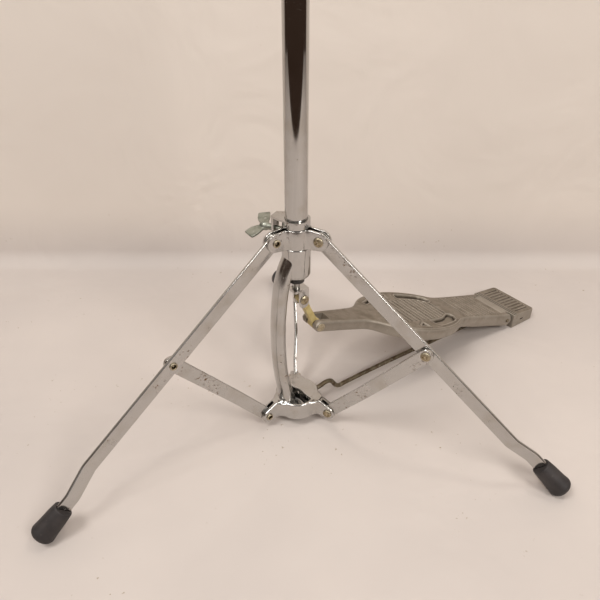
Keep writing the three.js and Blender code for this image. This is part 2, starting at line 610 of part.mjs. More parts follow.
function heightCollarSolid() {
  const { radius, bottom, top, boltZ } = HEIGHT_COLLAR;
  const shell = solid(turned([[0, bottom], [radius - 2, bottom], [radius, bottom + 2], [radius, top - 2],
    [radius - 2, top], [0, top]]));
  const boss = solid(box(6, radius + 5, -5.5, 5.5, boltZ - 6, boltZ + 6));
  const tubeBore = solid(disc(TUBE.radius + GAP, bottom - 1, TUBE.top + GAP));
  const upperBore = solid(disc(UPPER_TUBE.radius + GAP, bottom - 1, top + 1));
  const boltHole = solid(alongPin(BOLT_HOLE, 0, 30).translate(0, 0, boltZ));
  return cut(join(shell, boss), tubeBore, upperBore, boltHole);
}

const heightSide = spoke(CLAMP.azimuth);
piece('height_collar', heightCollarSolid(), chrome(), heightSide);
piece('height_wing_bolt', wingBoltSolid(UPPER_TUBE.radius + GAP, HEIGHT_COLLAR.radius + 5 + GAP, 1.15, 2),
  zinc(), heightSide).position.z = HEIGHT_COLLAR.boltZ;

piece('upper_tube', ring(UPPER_TUBE.bore, UPPER_TUBE.radius, UPPER_TUBE.bottom, UPPER_TUBE.top), chrome());

// Dished seat for the bottom cymbal, with a tilting screw in its rim.
function seatCupSolid() {
  const { bottom, top, rim } = SEAT;
  const neck = UPPER_TUBE.radius + 3;
  const body = solid(turned([[0, bottom], [neck, bottom], [neck, top - 12], [rim, top - 7], [rim, top - 5],
    [0, top - 5]]));
  const socket = solid(disc(UPPER_TUBE.radius + GAP, bottom - 1, UPPER_TUBE.top + GAP));
  const bore = solid(disc(ROD.radius + 1.5, bottom, top + 1, 18));
  const screwHole = solid(disc(2.3, bottom, top + 1, SMALL_ROUND).translate(rim - 5, 0, 0));
  return cut(body, socket, bore, screwHole);
}

const seatSide = spoke(-90);
piece('seat_cup', seatCupSolid(), chrome(), seatSide);
const feltRing = (inner, outer, bottom, top) => turned([[inner, bottom], [outer - 1.5, bottom],
  [outer, bottom + 1.5], [outer, top - 1.5], [outer - 1.5, top], [inner, top], [inner, bottom]], 24);
const cupTop = SEAT.top - 5;
const seatFelt = feltRing(ROD.radius + 2, SEAT.rim - 8.5, cupTop + GAP, SEAT.top + SEAT.feltThick);
piece('seat_felt', seatFelt, felt());
const screwProfile = [[0, cupTop - 16], [5, cupTop - 15.5], [5, cupTop - 10.5], [2, cupTop - 10],
  [2, cupTop + 4.5], [1.4, cupTop + 5], [0, cupTop + 5]];
piece('tilt_screw', turned(screwProfile, 16), zinc(), seatSide).position.x = SEAT.rim - 5;

// ---------------------------------------------------------------- clutch on the upper rod

function clutchSleeveSolid() {
  const { bottom, top, sleeve, head, boltZ } = CLUTCH;
  const body = solid(turned([[0, bottom], [sleeve, bottom], [sleeve, top - 19], [head, top - 18],
    [head, top - 1], [head - 1, top], [0, top]], 24));
  const bore = solid(disc(ROD.radius + GAP, bottom - 1, top + 1, 18));
  const boltHole = solid(alongPin(BOLT_HOLE, 0, 30).translate(0, 0, boltZ));
  return cut(body, bore, boltHole);
}

const clutchSide = spoke(-90);
piece('clutch_sleeve', clutchSleeveSolid(), chrome(), clutchSide);
piece('clutch_wing_screw', wingBoltSolid(ROD.radius + GAP, CLUTCH.head + GAP, 0.9, 2), zinc(), clutchSide)
  .position.z = CLUTCH.boltZ;

const onSleeve = CLUTCH.sleeve + GAP;
const above = (height) => CLUTCH.bottom + height;
piece('clutch_bottom_nut', ring(onSleeve, 11, above(0.5), above(7), 24), chrome());
piece('clutch_felt_lower', feltRing(onSleeve, CLUTCH.felt, above(7.3), above(14)), felt());
piece('clutch_felt_upper', feltRing(onSleeve, CLUTCH.felt, above(21), above(27.7)), felt());
piece('clutch_washer', ring(onSleeve, 12, above(28), above(30), 24), chrome());
const hexagon = solid(disc(10.5, above(30.3), above(37), 6));
piece('clutch_lock_nut', cut(hexagon, solid(disc(onSleeve, above(20), above(50), 24))), chrome());

export default stand;
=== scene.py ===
"""Hi-hat stand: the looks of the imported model, in Blender.

Sizes are in millimetres and heights are above the floor; stands_for() brings each piece into the frame,
which is in metres and has the floor below its origin.
"""
import json
from math import atan2, cos, hypot, pi, radians, sin, sqrt, tan

import bpy
import bmesh
import numpy as np
from mathutils import Matrix, Vector


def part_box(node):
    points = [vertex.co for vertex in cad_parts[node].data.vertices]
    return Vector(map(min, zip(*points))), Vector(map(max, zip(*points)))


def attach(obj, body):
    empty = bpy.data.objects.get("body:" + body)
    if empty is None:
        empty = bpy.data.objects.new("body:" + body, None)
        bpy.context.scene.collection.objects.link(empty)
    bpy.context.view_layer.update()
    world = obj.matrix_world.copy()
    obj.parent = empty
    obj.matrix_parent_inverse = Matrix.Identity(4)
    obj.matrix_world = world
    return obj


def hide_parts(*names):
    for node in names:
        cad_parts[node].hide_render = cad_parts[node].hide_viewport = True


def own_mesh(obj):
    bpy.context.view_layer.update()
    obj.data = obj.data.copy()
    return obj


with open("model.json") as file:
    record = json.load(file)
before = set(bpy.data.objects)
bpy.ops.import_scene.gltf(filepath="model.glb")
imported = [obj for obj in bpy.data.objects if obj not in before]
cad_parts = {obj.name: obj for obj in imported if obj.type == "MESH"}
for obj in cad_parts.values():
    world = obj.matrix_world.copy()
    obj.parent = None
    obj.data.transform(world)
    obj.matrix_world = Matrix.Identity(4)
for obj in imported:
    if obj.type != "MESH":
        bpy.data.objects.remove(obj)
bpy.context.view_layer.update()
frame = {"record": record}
MM = 0.001
JOINTS = {j["name"]: j for j in frame["record"]["behaviour"]["joints"]}
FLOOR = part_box("heel_plate")[0][2]                 # metres, the plane that the stand stands on


# -------------- places taken from the frame

def extent(node):
    """A node's low and high corners in millimetres, with heights above the floor."""
    low, high = (np.array(corner, float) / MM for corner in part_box(node))
    low[2] -= FLOOR / MM
    high[2] -= FLOOR / MM
    return low, high


def joint_place(name):
    """A hinge's distance from the stand's axis and its height above the floor, in millimetres."""
    x, y, z = JOINTS[name]["pos_m"]
    return hypot(x, y) / MM, (z - FLOOR) / MM


LEGS = {"left": 180, "right": -60, "back": 60}     # azimuths
COLLAR_R, COLLAR_Z = joint_place("leg_left_hinge")
BASE_R, BASE_Z = joint_place("brace_left_hinge")
HEEL_X, HEEL_Z = joint_place("footboard_hinge")
LINK_X, LINK_Z = joint_place("link_hinge")
KNEE_R, KNEE_Z = 121.9, 117.0                      # where each leg crosses its brace
CLAMP_AZIMUTH = 120                                # the way that the collar's and the height bolt point

BAR_WIDTH, BAR_THICK = 12.7, 3.0
TUBE_R = (extent("lower_tube")[1][0] - extent("lower_tube")[0][0]) / 2
LEG = {"length": 296, "jog": 7.8, "start": 238, "end": 262}
BRACE = {"offset": -3.6, "foot": -0.8, "start": 16, "end": 50}
BOOT = {"start": 273.5, "end": 302.9, "top": 8.2, "bottom": 10.3, "edge": 4}
STRAP = {"thick": 2.4, "ear": 8.2}
SLEEVE = {"r": 12.5, "low": 165.5, "high": 191.8}
CLEARANCE = 0.3
BOARD_TILT = 17.47
TOE_U, TOE_W, TOE_R = -287.7, 4.2, 5.3             # the pedal's toe; U runs along it from its hinge
HEEL_R = 7.7
LOBE_R, LOBE_HALF = 7, 4.4                         # what holds each brace's lower rivet
BASE_LOW, BASE_HIGH = 9.5, 27.0
BULGE, BULGE_AT = 20.0, 3.0
RIVET_HOLE, BOLT_HOLE, ROD_HOLE = 2.6, 2.8, 2.68
TUBE_BORE, UPPER_BORE, PULL_BORE, CLUTCH_BORE = 9.8, 7.8, 3.3, 5.9
ROD_START_Z, ROD_END_Z = 18.7, 5.0                 # the radius rod's ends, at the base and the heel plate
COLLAR_BOLT_Z, HEIGHT_BOLT_Z, CLUTCH_BOLT_Z = 203.5, 461.5, 853
CLUTCH_BOLT_AZIMUTH = -90
# the edge of the base's level shelf, on the pedal's side, in X and Y
SHELF = [(-1, 30), (-0.5, 8.6), (3.7, 0.7), (4.4, -12.1), (6.6, -24), (40, -24), (40, 30)]


def spoke(azimuth):
    return Matrix.Rotation(radians(azimuth), 4, "Z")


def unit(azimuth):
    """A level direction."""
    return np.array((cos(radians(azimuth)), sin(radians(azimuth))))


def move(x, y, z):
    return Matrix.Translation((x, y, z))


LEG_DROP = atan2(COLLAR_Z - KNEE_Z, KNEE_R - COLLAR_R)
LEG_KNEE = hypot(COLLAR_Z - KNEE_Z, KNEE_R - COLLAR_R)
BRACE_RISE = atan2(KNEE_Z - BASE_Z, KNEE_R - BASE_R)
BRACE_LENGTH = hypot(KNEE_Z - BASE_Z, KNEE_R - BASE_R)


def collar_place(azimuth):
    return spoke(azimuth) @ move(COLLAR_R, 0, COLLAR_Z)


def base_place(azimuth):
    return spoke(azimuth) @ move(BASE_R, 0, BASE_Z)


def leg_place(azimuth):
    return collar_place(azimuth) @ Matrix.Rotation(LEG_DROP, 4, "Y")


def brace_place(azimuth):
    return base_place(azimuth) @ Matrix.Rotation(-BRACE_RISE, 4, "Y")


BOARD = move(HEEL_X, 0, HEEL_Z) @ Matrix.Rotation(radians(BOARD_TILT), 4, "Y")
TOE = BOARD @ move(TOE_U, 0, TOE_W)
ACROSS = Matrix.Rotation(-pi / 2, 4, "X")          # turns a lathe's axis from +Z to +Y
OUTWARD = Matrix.Rotation(pi / 2, 4, "Y")          # turns a lathe's axis from +Z to +X
UPRIGHT = Matrix.Rotation(pi / 2, 4, "X")          # stands a slab up, so that its outline is in X and Z


# -------------- camera, floor and light

CAMERA_YAW = radians(-34.247)
CAMERA_PITCH = radians(33.155)
CAMERA_AT = (-0.23334, -0.34817, 0.40273)
LENS = 33.36                                       # on the default 36 mm sensor


def add(name, data):
    """A new object in the scene."""
    obj = bpy.data.objects.new(name, data)
    bpy.context.scene.collection.objects.link(obj)
    return obj


def make_camera():
    camera = add("camera", bpy.data.cameras.new("camera"))
    camera.data.lens = LENS
    camera.location = CAMERA_AT
    camera.rotation_euler = (pi / 2 - CAMERA_PITCH, 0, CAMERA_YAW)
    bpy.context.scene.camera = camera


def make_stage():
    """A pale sheet on the floor, up the wall close behind the stand, and not far in front of it."""
    sheet = material("sheet", (0.57, 0.515, 0.485), 0.0, 0.75)
    sheet.mottle((0.61, 0.55, 0.515), 5.0, 0.35, 0.7)
    sheet.spots((0.36, 0.29, 0.21), 230.0, 0.70, 0.73, 9.0, 0.48, 0.62, 0.8, 0.0)
    parts = sheet.tree.nodes.new("ShaderNodeSeparateXYZ")
    sheet.link(sheet.place, parts.inputs[0])
    # painted light: from the floor up the wall the sheet turns lighter, standing in for the brighter light
    # on the wall
    sheet.tint(sheet.multiply(sheet.ramp(parts.outputs["Z"], 0.0, 0.09), 0.85), (0.74, 0.665, 0.60))
    sheet.bump(sheet.noise(6.0, 3.0, 0.8), 0.28, 0.022)
    sheet.bump(sheet.noise(22.0, 3.0, 0.3, stretch=(1.0, 1.0, 0.5)), 0.10, 0.003)
    half, front, back, radius, top = 2.6, -0.80, 0.285, 0.025, 2.2
    line = [(front, 0.0), (-0.3, 0.0), (back, 0.0)]
    line += [(back + radius * sin(a), radius - radius * cos(a))
             for a in np.linspace(0.1, radians(84), 12)]
    line.append((line[-1][0] + (top - line[-1][1]) * tan(radians(6)), top))
    verts = [(x, y, z + FLOOR) for y, z in line for x in (-half, half)]
    faces = [(2 * i, 2 * i + 1, 2 * i + 3, 2 * i + 2) for i in range(len(line) - 1)]
    mesh = bpy.data.meshes.new("backdrop")
    mesh.from_pydata(verts, [], faces)
    mesh.polygons.foreach_set("use_smooth", [True] * len(mesh.polygons))
    mesh.materials.append(sheet.data)
    obj = add("backdrop", mesh)
    obj.rotation_euler = (0, 0, CAMERA_YAW)


def area_light(name, place, target, size, power, color):
    data = bpy.data.lights.new(name, "AREA")
    data.shape = "DISK"
    data.size = size
    data.energy = power
    data.color = color
    light = add(name, data)
    turn = Matrix.Rotation(CAMERA_YAW, 4, "Z")
    light.location = turn @ Vector(place)
    aim = turn @ Vector(target) - light.location
    light.rotation_euler = aim.to_track_quat("-Z", "Y").to_euler()


def make_world():
    """A light ceiling over a dark room, which is what the chrome reflects above the sheet's front edge."""
    world = bpy.data.worlds.new("room")
    world.use_nodes = True
    tree = world.node_tree
    place = tree.nodes.new("ShaderNodeTexCoord").outputs["Generated"]
    parts = tree.nodes.new("ShaderNodeSeparateXYZ")
    tree.links.new(place, parts.inputs[0])
    ramp = tree.nodes.new("ShaderNodeValToRGB")
    stops = [(0.0, (0.09, 0.05, 0.035)), (0.50, (0.10, 0.06, 0.042)), (0.62, (0.15, 0.095, 0.07)),
             (0.70, (0.55, 0.49, 0.43)), (0.80, (1.0, 0.95, 0.90)), (0.97, (0.80, 0.76, 0.72))]
    while len(ramp.color_ramp.elements) < len(stops):
        ramp.color_ramp.elements.new(0.5)
    for element, (at, color) in zip(ramp.color_ramp.elements, stops):
        element.position = at
        element.color = (*color, 1)
    height = tree.nodes.new("ShaderNodeMapRange")
    height.inputs["From Min"].default_value = -1
    height.inputs["From Max"].default_value = 1
    tree.links.new(parts.outputs["Z"], height.inputs["Value"])
    tree.links.new(height.outputs["Result"], ramp.inputs["Fac"])
    background = tree.nodes["Background"]
    tree.links.new(ramp.outputs["Color"], background.inputs["Color"])
    background.inputs["Strength"].default_value = 0.5
    bpy.context.scene.world = world


def make_light():
    make_world()
    area_light("key", (-0.7, -0.6, 1.6), (0, 0.25, 0.15), 0.7, 15, (1.0, 0.97, 0.93))
    area_light("fill", (0.9, -1.1, 1.25), (0.1, 0.3, 0.3), 0.7, 15, (1.0, 0.96, 0.91))
    area_light("lamp", (0.5, 0.1, 1.5), (0.1, 0.1, 0.1), 0.25, 2.5, (1.0, 0.93, 0.84))


# -------------- materials

class material:
    """A Principled surface whose colour, roughness and bump come from object coordinates."""

    def __init__(self, name, color, metallic, roughness):
        self.data = bpy.data.materials.new(name)
        self.data.use_nodes = True
        self.tree = self.data.node_tree
        self.shader = self.tree.nodes["Principled BSDF"]
        self.place = self.tree.nodes.new("ShaderNodeTexCoord").outputs["Object"]
        self.last_bump = None
        self.shader.inputs["Base Color"].default_value = (*color, 1.0)
        self.shader.inputs["Metallic"].default_value = metallic
        self.shader.inputs["Roughness"].default_value = roughness

    def link(self, start, end):
        self.tree.links.new(start, end)

    def noise(self, scale, detail=4.0, distortion=0.0, stretch=None):
        node = self.tree.nodes.new("ShaderNodeTexNoise")
        node.inputs["Scale"].default_value = scale
        node.inputs["Detail"].default_value = detail
        node.inputs["Distortion"].default_value = distortion
        source = self.place
        if stretch:
            mapping = self.tree.nodes.new("ShaderNodeMapping")
            mapping.inputs["Scale"].default_value = stretch
            self.link(source, mapping.inputs["Vector"])
            source = mapping.outputs["Vector"]
        self.link(source, node.inputs["Vector"])
        return node.outputs["Fac"]

    def ramp(self, value, low, high):
        node = self.tree.nodes.new("ShaderNodeMapRange")
        node.interpolation_type = "SMOOTHSTEP"
        node.inputs["From Min"].default_value = low
        node.inputs["From Max"].default_value = high
        self.link(value, node.inputs["Value"])
        return node.outputs["Result"]

    def multiply(self, a, b):
        node = self.tree.nodes.new("ShaderNodeMath")
        node.operation = "MULTIPLY"
        for value, socket in ((a, node.inputs[0]), (b, node.inputs[1])):
            if isinstance(value, float):
                socket.default_value = value
            else:
                self.link(value, socket)
        return node.outputs[0]

    def _mix_into(self, socket, mask, value, kind):
        node = self.tree.nodes.new("ShaderNodeMix")
        node.data_type = kind
        number = {"FLOAT": 2, "RGBA": 6}[kind]
        if socket.links:
            self.link(socket.links[0].from_socket, node.inputs[number])
        else:
            node.inputs[number].default_value = socket.default_value
        node.inputs[number + 1].default_value = value
        self.link(mask, node.inputs[0])
        self.link(node.outputs[{"FLOAT": 0, "RGBA": 2}[kind]], socket)

    def tint(self, mask, color):
        self._mix_into(self.shader.inputs["Base Color"], mask, (*color, 1.0), "RGBA")

    def dull(self, mask, roughness):
        self._mix_into(self.shader.inputs["Roughness"], mask, roughness, "FLOAT")

    def unmetal(self, mask, metallic):
        self._mix_into(self.shader.inputs["Metallic"], mask, metallic, "FLOAT")

    def mottle(self, color, scale, low, high, detail=4.0):
        self.tint(self.ramp(self.noise(scale, detail), low, high), color)

    def paint_groove_shade_and_edge_highlight(self, hollow, edge):
        """Paints shade into the bottoms of grooves and corners, and paints highlights onto raised edges."""
        sharp = self.tree.nodes.new("ShaderNodeNewGeometry").outputs["Pointiness"]
        # painted shade where pointiness is low (concave), then a painted highlight where it is high (convex)
        self.tint(self.multiply(self.ramp(sharp, 0.499, 0.475), 0.9), hollow)
        self.tint(self.multiply(self.ramp(sharp, 0.503, 0.53), 0.6), edge)

    def bump(self, height, strength, distance):
        node = self.tree.nodes.new("ShaderNodeBump")
        node.inputs["Strength"].default_value = strength
        node.inputs["Distance"].default_value = distance
        self.link(height, node.inputs["Height"])
        if self.last_bump:
            self.link(self.last_bump, node.inputs["Normal"])
        self.last_bump = node.outputs["Normal"]
        self.link(self.last_bump, self.shader.inputs["Normal"])

    def spots(self, color, scale, low, high, patch_scale, patch_low, patch_high, roughness, metallic):
        """Small marks that gather in patches: pitting, rust or grime."""
        mask = self.multiply(self.ramp(self.noise(scale, 6.0), low, high),
                             self.ramp(self.noise(patch_scale, 2.0), patch_low, patch_high))
        self.tint(mask, color)
        self.dull(mask, roughness)
        self.unmetal(mask, metallic)
        return mask


CHROME = (0.53, 0.52, 0.505)
RUST = (0.16, 0.085, 0.035)


def chrome(name, roughness=0.12, rust=0.0, haze=0.5):
    m = material(name, CHROME, 1.0, roughness)
    m.mottle((0.47, 0.45, 0.42), 55.0, 0.45, 0.75)
    m.dull(m.ramp(m.noise(30.0, 5.0), 0.42, 0.72), roughness + 0.16 * haze)
    m.spots((0.33, 0.27, 0.20), 900.0, 0.66, 0.72, 60.0, 0.5, 0.65, 0.45, 0.8)
    if rust:
        mask = m.spots(RUST, 420.0, 0.62 - 0.1 * rust, 0.68, 38.0, 0.60 - 0.12 * rust, 0.68, 0.75, 0.15)
        m.bump(mask, 0.4, 0.0002)
    m.bump(m.noise(160.0, 3.0), 0.02 + 0.02 * haze, 0.0004)
    m.bump(m.noise(1500.0, 2.0), 0.03, 0.00008)
    return m.data


def cast_aluminium():
    m = material("weathered_cast_aluminium", (0.25, 0.213, 0.17), 0.55, 0.48)
    m.mottle((0.185, 0.152, 0.115), 70.0, 0.4, 0.68, 6.0)
    m.mottle((0.35, 0.31, 0.26), 240.0, 0.55, 0.78, 5.0)
    m.dull(m.ramp(m.noise(140.0, 5.0), 0.35, 0.7), 0.6)
    m.spots((0.13, 0.10, 0.07), 700.0, 0.62, 0.72, 90.0, 0.45, 0.65, 0.75, 0.25)
    # painted shade darkens the grooves and corners, and a painted highlight lightens the raised edges
    m.paint_groove_shade_and_edge_highlight((0.055, 0.042, 0.03), (0.42, 0.38, 0.33))
    m.bump(m.noise(420.0, 6.0), 0.28, 0.0005)
    m.bump(m.noise(1900.0, 3.0), 0.22, 0.00018)
    return m.data


def aged_brass():
    m = material("aged_brass", (0.37, 0.30, 0.19), 0.9, 0.34)
    m.mottle((0.16, 0.115, 0.06), 480.0, 0.46, 0.62, 5.0)
    m.mottle((0.55, 0.49, 0.37), 900.0, 0.55, 0.75)
    m.dull(m.ramp(m.noise(600.0, 4.0), 0.4, 0.65), 0.55)
    # painted shade darkens the hollows and corners, and a painted highlight lightens the raised edges
    m.paint_groove_shade_and_edge_highlight((0.03, 0.02, 0.01), (0.60, 0.54, 0.42))
    m.bump(m.noise(900.0, 4.0), 0.2, 0.0002)
    return m.data


def tarnished_steel():
    m = material("tarnished_steel", (0.20, 0.165, 0.11), 0.85, 0.40)
    m.mottle((0.11, 0.08, 0.05), 140.0, 0.4, 0.65, 6.0)
    m.mottle((0.36, 0.32, 0.25), 330.0, 0.55, 0.75)
    m.dull(m.ramp(m.noise(220.0, 5.0), 0.4, 0.7), 0.62)
    m.bump(m.noise(800.0, 5.0), 0.3, 0.0003)
    return m.data


def zinc_plate():
    m = material("dull_zinc", (0.34, 0.35, 0.30), 0.85, 0.40)
    m.mottle((0.24, 0.25, 0.21), 160.0, 0.4, 0.66, 6.0)
    m.mottle((0.47, 0.47, 0.43), 420.0, 0.56, 0.76)
    m.dull(m.ramp(m.noise(300.0, 5.0), 0.4, 0.7), 0.56)
    m.bump(m.noise(900.0, 5.0), 0.25, 0.0003)
    return m.data


def spring_steel():
    m = material("drawn_steel", (0.42, 0.41, 0.39), 1.0, 0.28)
    m.mottle((0.28, 0.25, 0.21), 90.0, 0.45, 0.7, 5.0)
    m.spots(RUST, 600.0, 0.62, 0.7, 50.0, 0.5, 0.66, 0.7, 0.2)
    m.bump(m.noise(300.0, 3.0, stretch=(6.0, 6.0, 0.5)), 0.08, 0.0002)
    return m.data


def black_rubber():
    m = material("black_rubber", (0.022, 0.018, 0.018), 0.0, 0.5)
    m.mottle((0.040, 0.033, 0.032), 60.0, 0.4, 0.7, 6.0)
    m.spots((0.10, 0.085, 0.075), 500.0, 0.62, 0.74, 70.0, 0.48, 0.66, 0.8, 0.0)
    m.dull(m.ramp(m.noise(90.0, 4.0), 0.4, 0.7), 0.68)
    m.bump(m.noise(260.0, 5.0), 0.25, 0.0005)
    m.bump(m.noise(1600.0, 3.0), 0.18, 0.00015)
    return m.data


def pale_nylon():
    m = material("pale_nylon", (0.60, 0.49, 0.22), 0.0, 0.42)
    m.shader.inputs["Subsurface Weight"].default_value = 0.25
    m.shader.inputs["Subsurface Radius"].default_value = (0.004, 0.003, 0.0015)
    m.mottle((0.47, 0.36, 0.14), 130.0, 0.42, 0.7, 5.0)
    m.spots((0.25, 0.17, 0.07), 700.0, 0.6, 0.72, 120.0, 0.45, 0.65, 0.6, 0.0)
    m.bump(m.noise(500.0, 4.0), 0.15, 0.0003)
    return m.data


def black_nylon():
    m = material("black_nylon", (0.022, 0.020, 0.020), 0.0, 0.45)
    m.mottle((0.045, 0.04, 0.038), 300.0, 0.45, 0.7)
    m.bump(m.noise(900.0, 3.0), 0.15, 0.0002)
    return m.data


def wool_felt():
    m = material("wool_felt", (0.30, 0.285, 0.265), 0.0, 0.95)
    m.shader.inputs["Sheen Weight"].default_value = 0.6
    m.shader.inputs["Sheen Roughness"].default_value = 0.5
    m.mottle((0.21, 0.20, 0.185), 260.0, 0.4, 0.65, 8.0)
    m.mottle((0.42, 0.40, 0.37), 1400.0, 0.5, 0.7, 6.0)
    m.bump(m.noise(700.0, 8.0, 1.2), 0.7, 0.0007)
    m.bump(m.noise(2600.0, 4.0), 0.5, 0.0003)
    return m.data


# -------------- mesh building

def ring_faces(count, sides, closed_line=False):
    """Quads between successive rings of the same number of points."""
    faces = []
    for i in range(count if closed_line else count - 1):
        a, b = i * sides, ((i + 1) % count) * sides
        faces += [(a + k, a + (k + 1) % sides, b + (k + 1) % sides, b + k) for k in range(sides)]
    return faces


def loft(rings):
    """A closed skin over a list of rings, with its two ends filled."""
    sides = len(rings[0])
    verts = [tuple(p) for r in rings for p in r]
    faces = ring_faces(len(rings), sides)
    faces.append(tuple(reversed(range(sides))))
    faces.append(tuple(range((len(rings) - 1) * sides, len(rings) * sides)))
    return verts, faces


def rounded(points, radius, steps=4):
    """An open line with its inner corners rounded off."""
    points = [np.array(p, float) for p in points]
    out = [points[0]]
    for before, corner, after in zip(points, points[1:], points[2:]):
        reach = min(radius, 0.48 * np.linalg.norm(before - corner), 0.48 * np.linalg.norm(after - corner))
        a = corner + (before - corner) / np.linalg.norm(before - corner) * reach
        b = corner + (after - corner) / np.linalg.norm(after - corner) * reach
        for t in np.linspace(0, 1, steps):
            out.append((1 - t) ** 2 * a + 2 * t * (1 - t) * corner + t * t * b)
    out.append(points[-1])
    return out


def spin(line, sides):
    """A ring of points about +Z for each point of a line in radius and height."""
    angles = np.arange(sides) * 2 * pi / sides
    return [[(r * cos(a), r * sin(a), h) for a in angles] for r, h in line]


def lathe(profile, radius=0.4, sides=72):
    """A solid of revolution about +Z from an open profile that starts and ends on the axis."""
    return loft(spin([(max(r, 0.01), h) for r, h in rounded(profile, radius)], sides))


def cylinder(radius, low, high, round_over, sides=72):
    return lathe([(0, low), (radius, low), (radius, high), (0, high)], round_over, sides)


def hollow_lathe(profile, radius=0.4, sides=72):
    """A ring of revolution about +Z from a closed profile whose first corner isn't repeated."""
    middle = (np.array(profile[0]) + np.array(profile[-1])) / 2
    rings = spin(rounded([middle, *profile, middle], radius)[:-1], sides)
    return [p for r in rings for p in r], ring_faces(len(rings), sides, closed_line=True)


def tube(inner, outer, low, high, radius, sides):
    return hollow_lathe([(inner, low), (outer, low), (outer, high), (inner, high)], radius, sides)


def strip(path, halves, thick, corner):
    """A flat bar along a path, with half widths along Z."""
    path = np.array(path, float)
    across = np.array((0.0, 0.0, 1.0))
    tangents = np.gradient(path, axis=0)
    tangents /= np.linalg.norm(tangents, axis=1)[:, None]
    rings = []
    for point, tangent, half in zip(path, tangents, halves):
        normal = np.cross(tangent, across)
        normal /= np.linalg.norm(normal)
        c = min(corner, half * 0.6)
        ring = []
        for sx, sy, start in ((1, 1, 0), (-1, 1, 90), (-1, -1, 180), (1, -1, 270)):
            for step in (0, 30, 60, 90):
                a = radians(start + step)
                u = sx * (half - c) + c * cos(a)
                v = sy * (thick / 2 - c) + c * sin(a)
                ring.append(point + across * u + normal * v)
        rings.append(ring)
    return loft(rings)


def end_spacing(low, high, radius, middle_step):
    """Stations along a bar with round ends: close together at the ends."""
    turn = radius * (1 - np.cos(np.linspace(0, pi / 2, 14)))
    count = max(2, int((high - low - 2 * radius) / middle_step))
    return np.concatenate([low + turn, np.linspace(low + radius, high - radius, count)[1:-1],
                           high - turn[::-1]])


def round_ends(stations, low, high, half):
    """Half widths of a bar whose ends are half circles."""
    edge = np.minimum(np.minimum(stations - low, high - stations), half)
    return np.maximum(np.sqrt(np.maximum(half ** 2 - (half - edge) ** 2, 0)), 0.25)


def smoothstep(x, low, high):
    t = np.clip((x - low) / (high - low), 0, 1)
    return t * t * (3 - 2 * t)


def slab(outline, low, high):
    """A flat plate from an outline in X and Y."""
    n = len(outline)
    verts = [(x, y, low) for x, y in outline] + [(x, y, high) for x, y in outline]
    faces = [(i, (i + 1) % n, n + (i + 1) % n, n + i) for i in range(n)]
    faces += [tuple(reversed(range(n))), tuple(range(n, 2 * n))]
    return verts, faces


def block(x0, x1, y0, y1, z0, z1):
    return slab([(x0, y0), (x1, y0), (x1, y1), (x0, y1)], z0, z1)


def arc(x, y, radius, start, end, steps):
    return [(x + radius * cos(a), y + radius * sin(a))
            for a in np.radians(np.linspace(start, end, steps))]


def swept(points, half_u, half_v, sides=40, steps=12):
    """An oval bar along a smooth line in the XZ plane: half_u is its depth there, half_v across."""
    points = np.array(points, float)
    t = np.arange(len(points))
    fine = np.linspace(0, len(points) - 1, steps * (len(points) - 1) + 1)
    line = catmull(points, fine)
    tangents = np.gradient(line, axis=0)
    tangents /= np.linalg.norm(tangents, axis=1)[:, None]
    across = np.array((0.0, 1.0, 0.0))
    depths = np.interp(fine, t, np.broadcast_to(half_u, t.shape))
    widths = np.interp(fine, t, np.broadcast_to(half_v, t.shape))
    rings = []
    for point, tangent, u, v in zip(line, tangents, depths, widths):
        normal = np.cross(across, tangent)
        rings.append([point + normal * u * cos(a) + across * v * sin(a)
                      for a in np.arange(sides) * 2 * pi / sides])
    return loft(rings)


def catmull(points, at):
    """Catmull-Rom curve through the points, at fractional indices."""
    padded = np.vstack([2 * points[0] - points[1], points, 2 * points[-1] - points[-2]])
    out = []
    for value in at:
        i = min(int(value), len(points) - 2)
        t = value - i
        a, b, c, d = padded[i:i + 4]
        out.append(0.5 * (2 * b + (c - a) * t + (2 * a - 5 * b + 4 * c - d) * t * t
                          + (3 * b - a - 3 * c + d) * t ** 3))
    return np.array(out)


def solid(shape, place=Matrix()):
    """A working object in millimetres, from a geometry or from another working object, in its place."""
    if isinstance(shape, bpy.types.Object):
        shape.data.transform(place)
        return shape
    verts, faces = shape
    mesh = bpy.data.meshes.new("work")
    mesh.from_pydata([tuple(v) for v in verts], [], faces)
    mesh.transform(place)
    work = bmesh.new()
    work.from_mesh(mesh)
    bmesh.ops.remove_doubles(work, verts=work.verts, dist=1e-4)
    bmesh.ops.recalc_face_normals(work, faces=work.faces)
    work.to_mesh(mesh)
    work.free()
    return add("work", mesh)


def apply(obj):
    """Puts the result of an object's modifiers into its mesh."""
    graph = bpy.context.evaluated_depsgraph_get()
    mesh = bpy.data.meshes.new_from_object(obj.evaluated_get(graph))
    obj.modifiers.clear()
    obj.data = mesh
    return obj


def boolean(shape, others, operation):
    obj = solid(shape)
    for other in [solid(other) for other in others]:
        modifier = obj.modifiers.new("boolean", "BOOLEAN")
        modifier.operation = operation
        modifier.object = other
        modifier.solver = "EXACT"
        apply(obj)
        bpy.data.objects.remove(other)
    return obj


def cut(shape, *tools):
    return boolean(shape, tools, "DIFFERENCE")


def join(shape, *others):
    return boolean(shape, others, "UNION")


def drill(radius, low, high, place=Matrix(), sides=32):
    """A cylinder to cut with, along +Z until it is placed."""
    return solid(cylinder(radius, low, high, 0.01, sides), place)


def drill_across(radius, place=Matrix(), reach=20, sides=32):
    return drill(radius, -reach, reach, place @ ACROSS, sides)


def drill_outward(radius, low, high, z):
    return drill(radius, low, high, move(0, 0, z) @ OUTWARD)


def remeshed(obj, voxel, factor, passes):
    """Gives an object one skin of small even faces, and smooths it."""
    remesh = obj.modifiers.new("remesh", "REMESH")
    remesh.mode = "VOXEL"
    remesh.voxel_size = voxel
    smooth = obj.modifiers.new("smooth", "SMOOTH")
    smooth.factor = factor
    smooth.iterations = passes
    return apply(obj)


